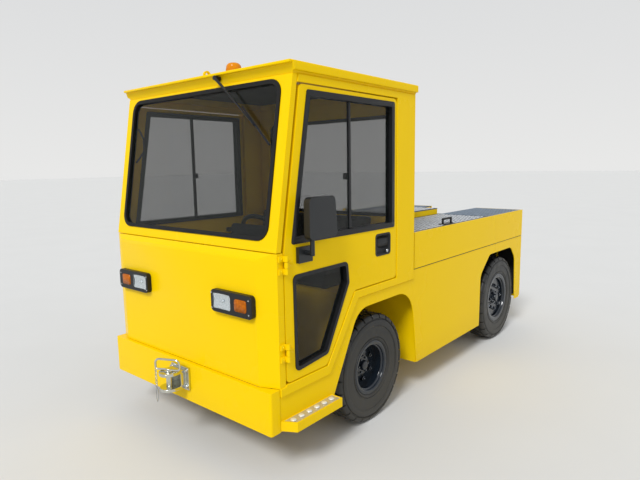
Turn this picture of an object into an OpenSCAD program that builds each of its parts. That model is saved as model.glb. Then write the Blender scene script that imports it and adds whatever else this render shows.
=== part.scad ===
// Electric tow tractor: closed two-seat cab in front, battery body with a load deck behind.
// Millimetres, +Z up, front towards -Y, the vehicle's left side on +X, wheels standing on z = 0.
// Inside the modules y is a station measured from the front axle, rearward positive.

/* [Overall] */
// Distance between the front and rear axles
wheelbase = 2000; // [1900:10:2200]
// Width over the chassis side plates
body_w = 1424; // [1400:2:1500]
// Front axle to the bumper face
front_overhang = 900; // [880:5:940]
// Rear axle to the rear plate face
rear_overhang = 505; // [480:5:540]
// Underside of the side plates between the axles
skirt_z = 222; // [200:2:240]
// Seam between the chassis plates and the deck hood
hood_seam_z = 884; // [870:2:900]
// Height of the load deck
deck_z = 1130; // [1100:5:1180]
// Height of the roof skin
roof_z = 2075; // [2050:5:2120]
// Thickness of the chassis side plates
plate_t = 8; // [6:1:8]

/* [Wheels] */
// Outside diameter of the front tyres
tyre_d = 676; // [660:2:690]
// Outside diameter of the rear tyres
rear_tyre_d = 740; // [724:2:748]
// Section width of the tyres
tyre_w = 190; // [180:2:196]
// Distance from the outer face of the side plates to the middle of each tyre
wheel_in = 110; // [108:1:116]
// Bead diameter of the front rims
rim_d = 306; // [300:2:312]
// Bead diameter of the rear rims
rear_rim_d = 382; // [376:2:390]
// How far the front wheel disc lies inside the outer rim flange
front_dish = 78; // [60:2:84]
// How far the rear wheel disc lies inside the outer rim flange
rear_dish = 34; // [26:2:44]
// Radius of the wheel hubs
hub_r = 58; // [52:1:62]
// Radius of the front wheels' stud circle
stud_r = 88; // [84:1:96]
// Radius of the rear wheels' stud circle
rear_stud_r = 106; // [100:1:116]

/* [Axles] */
// Distance from the middle of each tyre to its kingpin
kingpin_in = 132; // [128:1:138]
// Radius of the kingpins
kingpin_r = 16; // [14:0.5:18]
// Radius of the wheel spindles
spindle_r = 25; // [22:0.5:28]
// Length of the steering arms behind the kingpins
arm_l = 150; // [140:2:160]
// Running clearance of pins in their bores
run_gap = 0.06; // [0.04:0.01:0.09]
// Half the length of the leaf springs between their pins
spring_hl = 360; // [350:2:366]
// Half the width of the chassis rails
rail_hw = 35; // [30:1:36]
// Middle of each chassis rail from the middle of the body
rail_x = 270; // [264:1:274]
// Underside of the chassis rails
rail_z = 440; // [436:1:446]
// Height of the chassis rails
rail_h = 90; // [80:1:92]

/* [Front end] */
// Underside of the bumper
bumper_z = 270; // [255:5:285]
// Height of the bumper
bumper_h = 225; // [210:5:226]
// How far the bumper stands in front of the front panel
bumper_proud = 25; // [20:1:30]
// Thickness of the bumper plate
bumper_t = 22; // [18:1:22]
// Width of each slanted corner facet of the front panel
facet_w = 107; // [95:1:120]
// Depth of each slanted corner facet
facet_d = 43; // [36:1:50]
// Thickness of the front panel with its inner lining
front_t = 50; // [46:1:54]
// Height of the seam under the windscreen
seam_z = 1170; // [1160:2:1180]
// Width of one lamp housing
lamp_w = 310; // [290:2:316]
// Height of one lamp housing
lamp_h = 118; // [108:2:128]
// How far the lamp housings stand out
lamp_proud = 30; // [24:1:36]

/* [Cab] */
// How far the cab sides stand outside the chassis plates
cab_proud = 4; // [3:0.5:8]
// Station of the cab rear wall's back face
cab_rear = 440; // [436:1:444]
// Underside of the cab sills
sill_z = 453; // [448:1:458]
// Underside of the cab over the front wheels
ledge_z = 822; // [818:1:826]
// Lean of the windscreen from upright, in degrees
rake = 9.6; // [8.5:0.1:10.5]
// Thickness of the windscreen frame
screen_t = 36; // [32:1:40]
// Thickness of the cab sides
side_t = 56; // [50:1:58]
// Gap between the doors and the cab
door_gap = 6; // [5:0.5:7]
// Thickness of the doors
door_t = 40; // [36:1:40]
// Thickness of the window panes
glass_t = 6; // [5:0.5:8]
// Face width of the black rubber round the fixed windows
rubber_w = 22; // [18:1:26]
// Floor plate thickness
floor_t = 6; // [5:0.5:8]
// Front axle to the lower knee of the cab sill
knee_low = 449; // [440:1:456]
// Front axle to the upper knee of the cab sill
knee_high = 186; // [178:1:194]
// Width of one seat
seat_w = 440; // [400:5:460]
// Thickness of the seat cushions
cushion_h = 112; // [100:2:120]
// Height of the seat backs over the seat platform
back_h = 440; // [420:5:460]
// Dashboard top below the windscreen seam
dash_drop = 60; // [50:2:70]
// Height of the dashboard
dash_h = 170; // [150:2:180]
// Depth of the dashboard
dash_d = 185; // [170:1:190]
// Height of the instrument pod over the dashboard
pod_h = 175; // [160:1:180]
// Width of the instrument pod
pod_w = 250; // [230:2:254]

/* [Deck] */
// Length of the battery lid behind the cab
lid_l = 1227; // [1200:1:1240]
// Thickness of the tread plate
tread_t = 8; // [6:0.5:9]
// Half the width of the raised tunnel on the lid
tunnel_hw = 230; // [210:2:250]
// Height of the raised tunnel
tunnel_h = 47; // [40:1:55]
// Half the width of the sight notch above the rear hitch
notch_hw = 250; // [235:1:265]
// Radius of the hinge pins
hinge_r = 5; // [4:0.5:6]
// Half the length of the lid handle between its posts
handle_hl = 66; // [60:1:70]
// Height of the lid handle's bar over the lid
handle_h = 42; // [40:1:46]
// Distance from each long side of the battery to the side plate
battery_side = 224; // [210:2:230]
// Top of the battery below the deck
battery_drop = 90; // [80:2:110]
// Height of the bearers under the battery
bearer_h = 70; // [60:1:80]
// Top of the rear wheel covers below the hood seam
house_drop = 54; // [50:1:58]

/* [Hitches] */
// How far each hitch reaches out from its plate
hitch_reach = 140; // [125:1:150]
// Middle height of the hitch jaws
hitch_z = 408; // [402:1:414]
// Radius of the hitch pins
pin_r = 17; // [14:0.5:17.5]
// Length of the wiper from its pivot
wiper_l = 560; // [500:5:575]
// Turn of the parked wiper down from level
wiper_turn = 40; // [36:1:52]
// Half the width of the bow on each hitch pin
bow_hw = 82; // [70:1:90]
// Height of the bow over the upper jaw
bow_h = 62; // [54:1:66]
// Half the width of the hitch jaws
jaw_hw = 55; // [50:1:60]
// Clear height between the jaws
jaw_gap = 70; // [64:1:74]
// Radius of the bore in the roof lifting eyes
eye_bore_r = 13; // [11:0.5:14]

/* [Hidden] */
$fn = 48;

// Finishes
yellow = "#E8BE0C";
black = "#1B1C1D";
rubber = "#242424";
steel = "#8D9093";
alloy = "#C3C7CA";
glass = "#A9C2C6";

// Half widths and the stations that everything else hangs on
hw = body_w / 2;
chw = hw + cab_proud;
wheel_x = hw - wheel_in;
kingpin_x = wheel_x - kingpin_in;
bumper_y = -front_overhang;
front_y = bumper_y + bumper_proud;
corner_y = front_y + facet_d;
post_y = corner_y + 41;
rear_y = wheelbase + rear_overhang;
origin_y = (rear_y + bumper_y) / 2;
axle_z = tyre_d / 2;
rear_axle_z = rear_tyre_d / 2;
rim_f = tyre_w / 2 - 20;
plate_x = hw - plate_t;
side_x = chw - side_t;
side_top = roof_z - 63;
screen_y = front_y + 38;
screen_len = (side_top - seam_z) / cos(rake);
roof_front = screen_y + (side_top - seam_z) * tan(rake) + 4.6;
rail_in = rail_x - rail_hw;
rail_out = rail_x + rail_hw;
rail_top = rail_z + rail_h;
floor_z = sill_z + 13;
platform_z = ledge_z + 4;
knee1 = -knee_low;
knee2 = -knee_high;
bulkhead_y = cab_rear + 59;
box_rear_y = wheelbase - 463;
hood_y = cab_rear + 22;
hood_x = hw - 12;
lid_y0 = hood_y + 16;
lid_y1 = lid_y0 + lid_l;
plate_end = rear_y - 16;
notch_y = lid_y1 + 50;
notch_z = rail_top + 30;
lid_axis_x = -(hw - 14);
lid_axis_z = deck_z + 15;

// Door outline, (station, height), counter-clockwise from the front lower corner
door_front = post_y + door_gap;
door_rear = cab_rear - 218;
door_low = sill_z + 58;
door_ledge = ledge_z + 52;
door_top = side_top - 44;
door_lean = (door_top - seam_z + 10) * tan(rake);
door_pts = [[door_front, door_low], [knee1 - 20, door_low], [knee2 - 33, door_ledge],
    [door_rear, door_ledge], [door_rear, door_top], [door_front + door_lean, door_top],
    [door_front, seam_z - 10]];
door_x1 = chw + 2;
door_x0 = door_x1 - door_t;
hinge_x = door_x1 + 17;
hinge_y = post_y + 4;
hinge_h = 90;
hinge_zs = [sill_z + 175, seam_z - 105];

// Upper and lower door windows
sash_w = 30;
sash_pts = [[door_front + 51, seam_z + 30], [door_rear - 25, seam_z + 26],
    [door_rear - 26, door_top - 20], [door_front + door_lean + 49, door_top - 22]];
divider_y = (door_front + door_rear) / 2 + 46.5;
divider_hw = 9;
sash_r = 14;
pane_r = 6;
foot_pts = [[door_front + 63, door_low + 38], [knee1 - 16, door_low + 62],
    [knee2 - 84, door_ledge + 56], [knee2 - 97, seam_z - 118], [door_front + 57, seam_z - 122]];
foot_rubber = 20;

// Fixed windows, drawn flat
screen_pts = rect(64 - chw, chw - 64, 52, screen_len - 16);
rear_win = rect(100 - side_x, side_x - 100, seam_z + 60, side_top - 112);

// Unit vector along v
function unit(v) = v / norm(v);
// Outward normal of the edge a to b of a counter-clockwise outline
function edge_normal(a, b) = let (d = unit(b - a)) [d[1], -d[0]];
// Outline moved outward by g with sharp corners
function grow(p, g) = let (n = len(p)) [for (i = [0:n - 1])
    let (n1 = edge_normal(p[(i + n - 1) % n], p[i]), n2 = edge_normal(p[i], p[(i + 1) % n]))
    p[i] + g * (n1 + n2) / (1 + n1 * n2)];
// Points of the fillet of radius r at corner b between a and c
function fillet(a, b, c, r, n) =
    let (u = unit(a - b), v = unit(c - b), half = acos(u * v) / 2,
        m = b + unit(u + v) * r / sin(half), s = b + u * r / tan(half), e = b + v * r / tan(half),
        a0 = atan2(s[1] - m[1], s[0] - m[0]), a1 = atan2(e[1] - m[1], e[0] - m[0]),
        sweep = (a1 - a0 + 540) % 360 - 180)
    [for (k = [0:n]) m + r * [cos(a0 + sweep * k / n), sin(a0 + sweep * k / n)]];
// Outline with every corner rounded; r is one radius or one for each corner
function rounded(p, r, n = 6) = let (c = len(p)) [for (i = [0:c - 1])
    let (q = is_list(r) ? r[i] : r)
    each (q > 0 ? fillet(p[(i + c - 1) % c], p[i], p[(i + 1) % c], q, n) : [p[i]])];
// Corners of an upright rectangle
function rect(x0, x1, y0, y1) = [[x0, y0], [x1, y0], [x1, y1], [x0, y1]];
// Outer end of a spindle, just inside the blind bore of its hub
function spindle_end(dish) = wheel_x + rim_f - dish + 3;
// Station of the windscreen frame's back face at height z
function screen_back(z) = screen_y + (z - seam_z) * tan(rake) + screen_t / cos(rake);

// Outlines drawn as (station, height), from x0 to x1
module along_x(x0, x1) {
    translate([x0, 0, 0]) rotate([90, 0, 90]) linear_extrude(x1 - x0) children();
}
// Outlines drawn as (x, height), from station y0 to y1
module along_y(y0, y1) {
    translate([0, y1, 0]) rotate([90, 0, 0]) linear_extrude(y1 - y0) children();
}
// Outlines drawn as (x, station), from z0 to z1
module along_z(z0, z1) {
    translate([0, 0, z0]) linear_extrude(z1 - z0) children();
}
// Box between two corners
module box(x0, x1, y0, y1, z0, z1) {
    translate([x0, y0, z0]) cube([x1 - x0, y1 - y0, z1 - z0]);
}
// Round bar along x, y or z
module bar_x(x0, x1, y, z, r) {
    translate([x0, y, z]) rotate([0, 90, 0]) cylinder(r = r, h = x1 - x0);
}
module bar_y(x, y0, y1, z, r) {
    translate([x, y1, z]) rotate([90, 0, 0]) cylinder(r = r, h = y1 - y0);
}
module bar_z(x, y, z0, z1, r) {
    translate([x, y, z0]) cylinder(r = r, h = z1 - z0);
}
// The left piece and its mirror image on the right
module pair() {
    children();
    mirror([1, 0, 0]) children();
}
// The windscreen's own plane: x across, y up the rake, z = 0 on the outer face
module on_screen() {
    translate([0, screen_y, seam_z]) rotate([90 - rake, 0, 0]) children();
}

// Ladder frame: a low front half under the foot floor, high rails over both axles
module chassis_frame() color(steel) {
    difference() {
        union() {
            pair() {
                box(rail_in, rail_out, bumper_y + bumper_t, -spring_hl - 30, floor_z - 130, floor_z);
                box(rail_in, rail_out, -spring_hl - 45, bulkhead_y, rail_z, rail_top);
                for (y = [-spring_hl, spring_hl]) {
                    box(rail_in - 5, rail_in + 5, y - 22, y + 22, rail_z - 42, rail_z + 20);
                    box(rail_out - 5, rail_out + 5, y - 22, y + 22, rail_z - 42, rail_z + 20);
                }
            }
            box(-rail_x, rail_x, front_y + 8, front_y + 68, floor_z - 120, floor_z - 10);
            box(-rail_x, rail_x, bulkhead_y - 60, bulkhead_y, rail_z + 5, rail_top - 5);
        }
        for (y = [-spring_hl, spring_hl]) {
            bar_x(-rail_out - 20, rail_out + 20, y, rail_z - 22, 8 + run_gap);
        }
    }
    pair() box(rail_in, rail_out, box_rear_y + 8, plate_end, rail_z, rail_top);
    box(-rail_x, rail_x, plate_end - 60, plate_end, rail_z + 5, rail_top - 5);
}

// Lower edge of a side plate with both wheel arches, front to rear
arch_z = ledge_z - 72;
tail_arch_z = hood_seam_z - 82;
arch_pts = [[corner_y, bumper_z], [knee1 + 21, bumper_z], [knee2 + 14, arch_z], [cab_rear - 9, arch_z],
    [bulkhead_y + 8, skirt_z], [wheelbase - 448, skirt_z], [wheelbase - 440, tail_arch_z - 150],
    [wheelbase - 255, tail_arch_z], [wheelbase + 235, tail_arch_z],
    [wheelbase + 343, tail_arch_z - 112], [wheelbase + 374, skirt_z + 58],
    [plate_end, skirt_z + 58], [plate_end, hood_seam_z - 2], [cab_rear + 16, hood_seam_z - 2],
    [cab_rear + 16, ledge_z - 4], [knee2 - 2, ledge_z - 4], [knee1 - 2, sill_z - 3],
    [corner_y, sill_z - 3]];
arch_r = [6, 12, 150, 190, 8, 8, 100, 90, 100, 110, 10, 8, 0, 0, 0, 0, 0, 0];

module side_plates() color(yellow) {
    pair() along_x(plate_x, hw) polygon(rounded(arch_pts, arch_r));
}

// Bulkheads, belly plate and bearers that make the battery box between the side plates
module box_walls() color(yellow) {
    box(-plate_x, plate_x, bulkhead_y, bulkhead_y + 8, skirt_z, hood_seam_z - 2);
    box(-plate_x, plate_x, box_rear_y, box_rear_y + 8, skirt_z, hood_seam_z - 2);
    box(-plate_x, plate_x, bulkhead_y, box_rear_y + 8, skirt_z, skirt_z + 8);
    pair() box(rail_x - 20, rail_x + 60, bulkhead_y, box_rear_y + 8, skirt_z, skirt_z + bearer_h);
}

// Covers over the rear wheels, open below for the axle
module rear_wheelhouses() color(black) {
    top = hood_seam_z - house_drop;
    pair() {
        box(kingpin_x, kingpin_x + 6, box_rear_y + 8, plate_end, rail_z + 10, top);
        box(kingpin_x, plate_x, box_rear_y + 8, plate_end, top - 6, top);
    }
}

// Heavy rear plate with the sight notch above the hitch
module rear_plate() color(yellow) {
    along_y(plate_end, rear_y) polygon(rounded([[-hw, skirt_z + 58], [hw, skirt_z + 58],
        [hw, hood_seam_z - 2], [notch_hw, hood_seam_z - 2], [notch_hw, notch_z], [-notch_hw, notch_z],
        [-notch_hw, hood_seam_z - 2], [-hw, hood_seam_z - 2]], [24, 24, 0, 0, 30, 30, 0, 0]));
}

// Bumper band folded back at both ends, with a top plate that closes it against the panel
module front_bumper() color(yellow) {
    top = bumper_z + bumper_h;
    along_z(top - 8, top) polygon(rounded([[-hw - 3, corner_y - 2], [-hw - 3, bumper_y],
        [hw + 3, bumper_y], [hw + 3, corner_y - 2], [chw - 8, corner_y - 2],
        [chw - facet_w - 4, front_y + 3], [facet_w + 4 - chw, front_y + 3], [8 - chw, corner_y - 2]],
        [0, 14, 14, 0, 0, 0, 0, 0]));
    along_z(bumper_z, top) difference() {
        polygon(rounded([[-hw - 3, corner_y - 2], [-hw - 3, bumper_y], [hw + 3, bumper_y],
            [hw + 3, corner_y - 2]], [0, 14, 14, 0]));
        polygon(rounded([[-hw - 3 + bumper_t, corner_y], [-hw - 3 + bumper_t, bumper_y + bumper_t],
            [hw + 3 - bumper_t, bumper_y + bumper_t], [hw + 3 - bumper_t, corner_y]], [0, 6, 6, 0]));
    }
}

// Lower front panel with slanted corners and returns to the doors, bent back at the top
module front_panel() color(yellow) {
    intersection() {
        along_z(bumper_z + bumper_h + 2, seam_z - 3) polygon([[-chw, post_y], [-chw, corner_y],
            [facet_w - chw, front_y], [chw - facet_w, front_y], [chw, corner_y], [chw, post_y],
            [chw - front_t, post_y], [chw - front_t, corner_y + 12],
            [chw - facet_w - 20, front_y + front_t], [facet_w + 20 - chw, front_y + front_t],
            [front_t - chw, corner_y + 12], [front_t - chw, post_y]]);
        along_x(-chw - 5, chw + 5) polygon(rounded([[front_y, bumper_z],
            [post_y + 5, bumper_z], [post_y + 5, seam_z], [front_y + 36, seam_z],
            [front_y, seam_z - 36]], [0, 0, 0, 0, 30]));
    }
    for (z = hinge_zs) post_hinge(z);
    mirror([1, 0, 0]) for (z = hinge_zs) post_hinge(z);
    // Feet that carry the panel on the low rails
    pair() box(rail_in, rail_out, front_y + 6, front_y + front_t - 2, floor_z, bumper_z + bumper_h + 4);
}

// Post half of a door hinge: leaf, two knuckles and the pin
module post_hinge(z) {
    for (k = [0, 62]) {
        box(chw - 4, chw + 8, post_y - 34, post_y, z + k, z + k + 28);
        box(chw - 4, hinge_x, post_y - 8, post_y, z + k, z + k + 28);
        bar_z(hinge_x, hinge_y, z + k, z + k + 28, 10);
    }
    bar_z(hinge_x, hinge_y, z, z + hinge_h, hinge_r);
}

// Front lamp housings, rear lamp housings and the beacon base
lamp_x = chw - facet_w - 156;
lamp_z = seam_z - 270;
tail_x = hw - 102;
tail_z = hood_seam_z - 124;
beacon_y = corner_y + 402;
module lamp_housings() color(black) {
    pair() difference() {
        along_y(front_y - lamp_proud, front_y) polygon(rounded(rect(lamp_x - lamp_w / 2,
            lamp_x + lamp_w / 2, lamp_z - lamp_h / 2, lamp_z + lamp_h / 2), 24));
        along_y(front_y - lamp_proud - 1, front_y - lamp_proud + 14)
            polygon(rounded(grow(clear_pts, 1), 16));
        along_y(front_y - lamp_proud - 1, front_y - lamp_proud + 14)
            polygon(rounded(grow(amber_pts, 1), 12));
    }
    pair() difference() {
        along_y(rear_y, rear_y + 24) polygon(rounded(rect(tail_x - 80, tail_x + 80,
            tail_z - 55, tail_z + 55), 16));
        along_y(rear_y + 12, rear_y + 25) polygon(rounded(grow(tail_pts, 1), 10));
    }
    bar_z(0, beacon_y, roof_z, roof_z + 22, 52);
}

clear_pts = rect(lamp_x - 137, lamp_x - 5, lamp_z - 40, lamp_z + 40);
amber_pts = rect(lamp_x + 32, lamp_x + 115, lamp_z - 30, lamp_z + 30);
tail_pts = rect(tail_x - 66, tail_x + 66, tail_z - 42, tail_z + 42);
module clear_lenses() color("#E6ECEC") {
    pair() along_y(front_y - lamp_proud - 3, front_y - lamp_proud + 14)
        polygon(rounded(grow(clear_pts, 1), 16));
}
module amber_lenses() color("#E28A1B") {
    pair() along_y(front_y - lamp_proud - 3, front_y - lamp_proud + 14)
        polygon(rounded(grow(amber_pts, 1), 12));
    translate([0, beacon_y, roof_z + 22]) rotate_extrude()
        polygon(rounded([[0, 0], [47, 0], [44, 88], [0, 88]], [0, 0, 28, 0], 8));
}
module red_lenses() color("#A81D18") {
    pair() along_y(rear_y + 12, rear_y + 27) polygon(rounded(grow(tail_pts, 1), 10));
}

// Drop-pin hitch in its own frame: plate face on y = 0, jaws reaching towards -y
module jaw_body() {
    pin_y = jaw_hw - hitch_reach;
    plate = 18;
    difference() {
        union() {
            box(-80, 80, -16, 0, hitch_z - 65, hitch_z + 65);
            for (z = [hitch_z - jaw_gap / 2 - plate, hitch_z + jaw_gap / 2]) {
                box(-jaw_hw, jaw_hw, pin_y, -10, z, z + plate);
                bar_z(0, pin_y, z, z + plate, jaw_hw);
            }
            for (x = [-jaw_hw, jaw_hw - 12]) {
                box(x, x + 12, -48, -10, hitch_z - jaw_gap / 2 - 4, hitch_z + jaw_gap / 2 + 4);
            }
        }
        bar_z(0, pin_y, hitch_z - 100, hitch_z + 100, pin_r + run_gap);
    }
}
// Pin with collar and a bow to lift it by, turned a little to one side
module jaw_pin() {
    pin_y = jaw_hw - hitch_reach;
    top = hitch_z + jaw_gap / 2 + 18;
    bar_z(0, pin_y, hitch_z - jaw_gap / 2 - 36, top + 16, pin_r);
    bar_z(0, pin_y, top, top + 8, pin_r + 8);
    translate([0, pin_y, 0]) rotate([0, 0, 25]) {
        for (z = [top + 14, top + bow_h]) bar_x(-bow_hw, bow_hw, 0, z, 6);
        for (x = [-bow_hw, bow_hw]) {
            bar_z(x, 0, top + 14, top + bow_h, 6);
            for (z = [top + 14, top + bow_h]) translate([x, 0, z]) sphere(r = 6);
        }
    }
}
module at_hitches() {
    translate([0, bumper_y, 0]) children();
    translate([0, rear_y, 0]) mirror([0, 1, 0]) children();
}
module hitch_jaws() color(steel) at_hitches() jaw_body();
module hitch_pins() color(steel) at_hitches() jaw_pin();

// Windscreen frame; its side faces are the narrow front posts beside the doors
module windscreen_frame() color(yellow) {
    difference() {
        on_screen() translate([0, 0, -screen_t]) linear_extrude(screen_t) difference() {
            polygon(rect(-chw, chw, 0, screen_len + screen_t));
            polygon(rounded(screen_pts, 75));
        }
        box(-chw - 9, chw + 9, corner_y - 200, cab_rear, side_top, side_top + 3 * screen_t);
        box(-chw - 9, chw + 9, corner_y - 200, cab_rear, seam_z - 60, seam_z);
    }
}

// Door surrounds: sill, slanted wheel strip, rear post and top rail
module cab_sides() color(yellow) {
    d = grow(door_pts, door_gap);
    pair() along_x(side_x, chw) polygon([[corner_y, sill_z], [knee1, sill_z], [knee2, ledge_z],
        [cab_rear, ledge_z], [cab_rear, side_top], [screen_back(side_top), side_top],
        [screen_back(d[4][1]), d[4][1]], d[4], d[3], d[2], d[1], [post_y, d[0][1]],
        [post_y, bumper_z + bumper_h + 2], [corner_y, bumper_z + bumper_h + 2]]);
}

module cab_rear_wall() color(yellow) {
    along_y(cab_rear - 40, cab_rear) difference() {
        polygon(rect(-side_x, side_x, platform_z, side_top));
        polygon(rounded(rear_win, 60));
    }
}

// Roof pan with an overhanging side flange, hollow below, and two lifting eyes
eye_ys = [roof_front + 60, cab_rear - 90];
eye_h = eye_bore_r + 4;
module roof() color(yellow) {
    difference() {
        union() {
            intersection() {
                along_x(-chw - 30, chw + 30) polygon(rounded([[roof_front, side_top],
                    [cab_rear + 12, side_top], [cab_rear + 12, roof_z], [roof_front - 23, roof_z]],
                    [4, 6, 14, 10]));
                along_y(corner_y, cab_rear + 40) polygon(rounded([[-chw + 4, side_top],
                    [chw - 4, side_top], [chw + 4, side_top + 14], [chw + 18, side_top + 14],
                    [chw + 18, roof_z - 8], [chw - 6, roof_z], [6 - chw, roof_z],
                    [-chw - 18, roof_z - 8], [-chw - 18, side_top + 14], [-chw - 4, side_top + 14]],
                    [0, 0, 6, 3, 6, 30, 30, 6, 3, 6]));
            }
            for (y = eye_ys) {
                box(-7, 7, y - 28, y + 28, roof_z - 4, roof_z + 8);
                bar_x(-7, 7, y, roof_z + eye_h, eye_bore_r + 10);
            }
        }
        box(-side_x + 20, side_x - 20, roof_front + 98, cab_rear - 45, side_top - 5, roof_z - 14);
        for (y = eye_ys) bar_x(-20, 20, y, roof_z + eye_h, eye_bore_r);
    }
}

// Rubber sections that hold the windscreen and the rear window
module cab_gaskets() color(rubber) {
    on_screen() translate([0, 0, -24]) linear_extrude(30) difference() {
        polygon(rounded(screen_pts, 75));
        polygon(rounded(grow(screen_pts, -rubber_w), 75 - rubber_w));
    }
    along_y(cab_rear - 28, cab_rear + 5) difference() {
        polygon(rounded(rear_win, 60));
        polygon(rounded(grow(rear_win, -rubber_w), 60 - rubber_w));
    }
}
module cab_glass() color(glass, 0.4) {
    on_screen() translate([0, 0, -12]) linear_extrude(glass_t)
        polygon(rounded(grow(screen_pts, -rubber_w), 75 - rubber_w));
    along_y(cab_rear - 16, cab_rear - 16 + glass_t)
        polygon(rounded(grow(rear_win, -rubber_w), 60 - rubber_w));
}

// Wiper: pivot on the roof fascia, arm and blade lying down the screen
wiper_x = chw - 521;
module wiper() color(black) {
    difference() {
        union() {
            bar_y(wiper_x, roof_front - 52, roof_front, side_top + 26, 17);
            translate([wiper_x, roof_front - 48, side_top + 26])
                rotate([90 - rake + 4, 0, 0]) rotate([0, 0, -wiper_turn])
                box(-8, wiper_l, -7, 7, -4, 4);
        }
        along_x(0, chw) polygon([[roof_front, side_top], [cab_rear, side_top], [cab_rear, roof_z],
            [roof_front - 23, roof_z]]);
    }
}

// Foot floor, slanted bulkhead and seat platform bent from one plate, with two pedals
module cab_floor() color(yellow) {
    f0 = front_y + front_t;
    p = [[f0, floor_z], [knee1 - 6, floor_z], [knee2 - 6, platform_z], [cab_rear - 40, platform_z]];
    along_x(-side_x, side_x) polygon([p[0], p[1], p[2], p[3], p[3] + [0, floor_t],
        p[2] + [-3, floor_t], p[1] + [-3, floor_t], p[0] + [0, floor_t]]);
    for (x = [driver_x - 70, driver_x + 70]) {
        translate([x, front_y + 185, floor_z + 2]) rotate([35, 0, 0]) cube([60, 150, 12]);
    }
}

// Driver and passenger seats, cushion and back as separate pads
driver_x = side_x * 13 / 33;
mate_x = -side_x * 5 / 11;
module seats() color("#26282A") {
    z0 = platform_z + floor_t;
    z1 = z0 + cushion_h;
    for (x = [driver_x, mate_x]) {
        along_x(x - seat_w / 2, x + seat_w / 2) {
            polygon(rounded(rect(cab_rear - 630, cab_rear - 178, z0, z1), 22));
            polygon(rounded([[cab_rear - 244, z1 + 0.3], [cab_rear - 140, z1 + 0.3],
                [cab_rear - 92, platform_z + back_h - 4], [cab_rear - 184, platform_z + back_h]],
                [4, 16, 26, 26]));
        }
    }
}

// Instrument shelf, left-hand pod and steering column
wheel_c = [driver_x + 20, front_y + 425, seam_z - 10];
column_tilt = -52;
module dashboard() color(black) {
    f0 = front_y + front_t;
    f1 = f0 + dash_d;
    top = seam_z - dash_drop;
    dash_hw = chw - facet_w - 20;
    box(-dash_hw, dash_hw, f0, f1, top - dash_h, top);
    along_x(driver_x + 40, driver_x + 40 + pod_w) polygon(rounded([[f1 - 135, top - 5], [f1, top - 5],
        [f1 - 10, top + pod_h - 15], [f1 - 105, top + pod_h]], [0, 0, 20, 20]));
    translate(wheel_c) rotate([column_tilt, 0, 0]) {
        translate([0, 0, -290]) cylinder(r = 28, h = 260);
        translate([0, 0, -60]) cylinder(r = 12, h = 62);
    }
}
module steering_wheel() color(black) {
    translate(wheel_c) rotate([column_tilt, 0, 0]) {
        difference() {
            union() {
                translate([0, 0, -22]) cylinder(r = 34, h = 30);
                for (a = [90, 210, 330]) rotate([0, 0, a]) box(20, 178, -13, 13, -10, -2);
            }
            translate([0, 0, -40]) cylinder(r = 12 + run_gap, h = 44);
        }
        rotate_extrude() translate([182, 0]) circle(r = 13);
    }
}

// Side steps with a raised edge and an alloy tread
step_y0 = corner_y + 22;
step_y1 = knee1 + 19;
step_pts = [[hw, corner_y - 1], [hw + 76, step_y0 + 20], [hw + 76, step_y1], [hw, step_y1]];
step_hole = [[hw + 8, step_y0 - 6], [hw + 68, step_y0 + 28], [hw + 68, step_y1 - 8], [hw + 8, step_y1 - 8]];
module steps() color(yellow) {
    pair() difference() {
        along_z(bumper_z + 7, bumper_z + 58) polygon(step_pts);
        along_z(bumper_z + 48, bumper_z + 60) polygon(step_hole);
        box(hw - 1, hw + 68, step_y0 + 40, step_y1 - 8, bumper_z, bumper_z + 36);
    }
}
module step_treads() color(alloy) {
    pair() {
        along_z(bumper_z + 48, bumper_z + 56) polygon(step_hole);
        for (k = [0:5]) bar_z(hw + 38, step_y0 + 30 + k * 60, bumper_z + 55, bumper_z + 59, 13);
    }
}

// Upper body round the battery: walls, lid ledges, sight notch with a sloping floor
module deck_hood() color(yellow) {
    h0 = hood_seam_z + 2;
    lip = deck_z - tread_t;
    pair() {
        box(hood_x, hw, hood_y, rear_y, h0, deck_z);
        box(hood_x - 14, hood_x + 4, bulkhead_y + 8, box_rear_y, hood_seam_z - 30, h0 + 16);
        box(hood_x - 14, hood_x + 4, box_rear_y + 8, plate_end, hood_seam_z - 30, h0 + 16);
        box(hood_x - 10, hood_x + 2, box_rear_y - 5, box_rear_y + 15, h0, h0 + 16);
        box(notch_hw, hood_x + 2, plate_end, rear_y, h0, deck_z);
        box(notch_hw, hood_x - 10, plate_end - 12, plate_end, hood_seam_z - 30, h0 + 40);
        box(notch_hw, hood_x + 2, plate_end - 1, rear_y, h0, h0 + 40);
    }
    box(hood_x - 20, hood_x + 2, hood_y, rear_y, lip - 22, lip - 0.5);
    box(-hood_x - 2, 20 - hood_x, lid_y1 + 6, rear_y, lip - 22, lip);
    box(-hood_x - 2, hood_x + 2, hood_y, hood_y + 10, h0, deck_z);
    box(-hood_x - 2, hood_x + 2, lid_y1 - 20, lid_y1 + 40, lip - 40, lip - 0.5);
    for (y = [lid_y0 + 120, lid_y0 + lid_l / 2, lid_y1 - 120]) lid_lug(y);
}
// Sloping trough behind the notch, through which the driver sees the rear hitch
module sight_trough() color(yellow) {
    lip = deck_z - tread_t;
    pair() box(notch_hw, notch_hw + 8, notch_y, plate_end - 12, lip - 282, lip);
    box(-notch_hw - 8, notch_hw + 8, notch_y - 8, notch_y, lip - 282, lip);
    along_x(-notch_hw - 8, notch_hw + 8) polygon([[notch_y - 8, deck_z - 240], [notch_y - 8, deck_z - 230],
        [plate_end, notch_z + 10], [plate_end, notch_z]]);
}
// Fixed half of a lid hinge: two lugs and the pin between them
module lid_lug(y) {
    for (k = [-52, 26]) {
        box(-hw, lid_axis_x, y + k, y + k + 26, deck_z - 2, lid_axis_z);
        bar_y(lid_axis_x, y + k, y + k + 26, lid_axis_z, 9);
    }
    bar_y(lid_axis_x, y - 52, y + 52, lid_axis_z, hinge_r);
}

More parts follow.
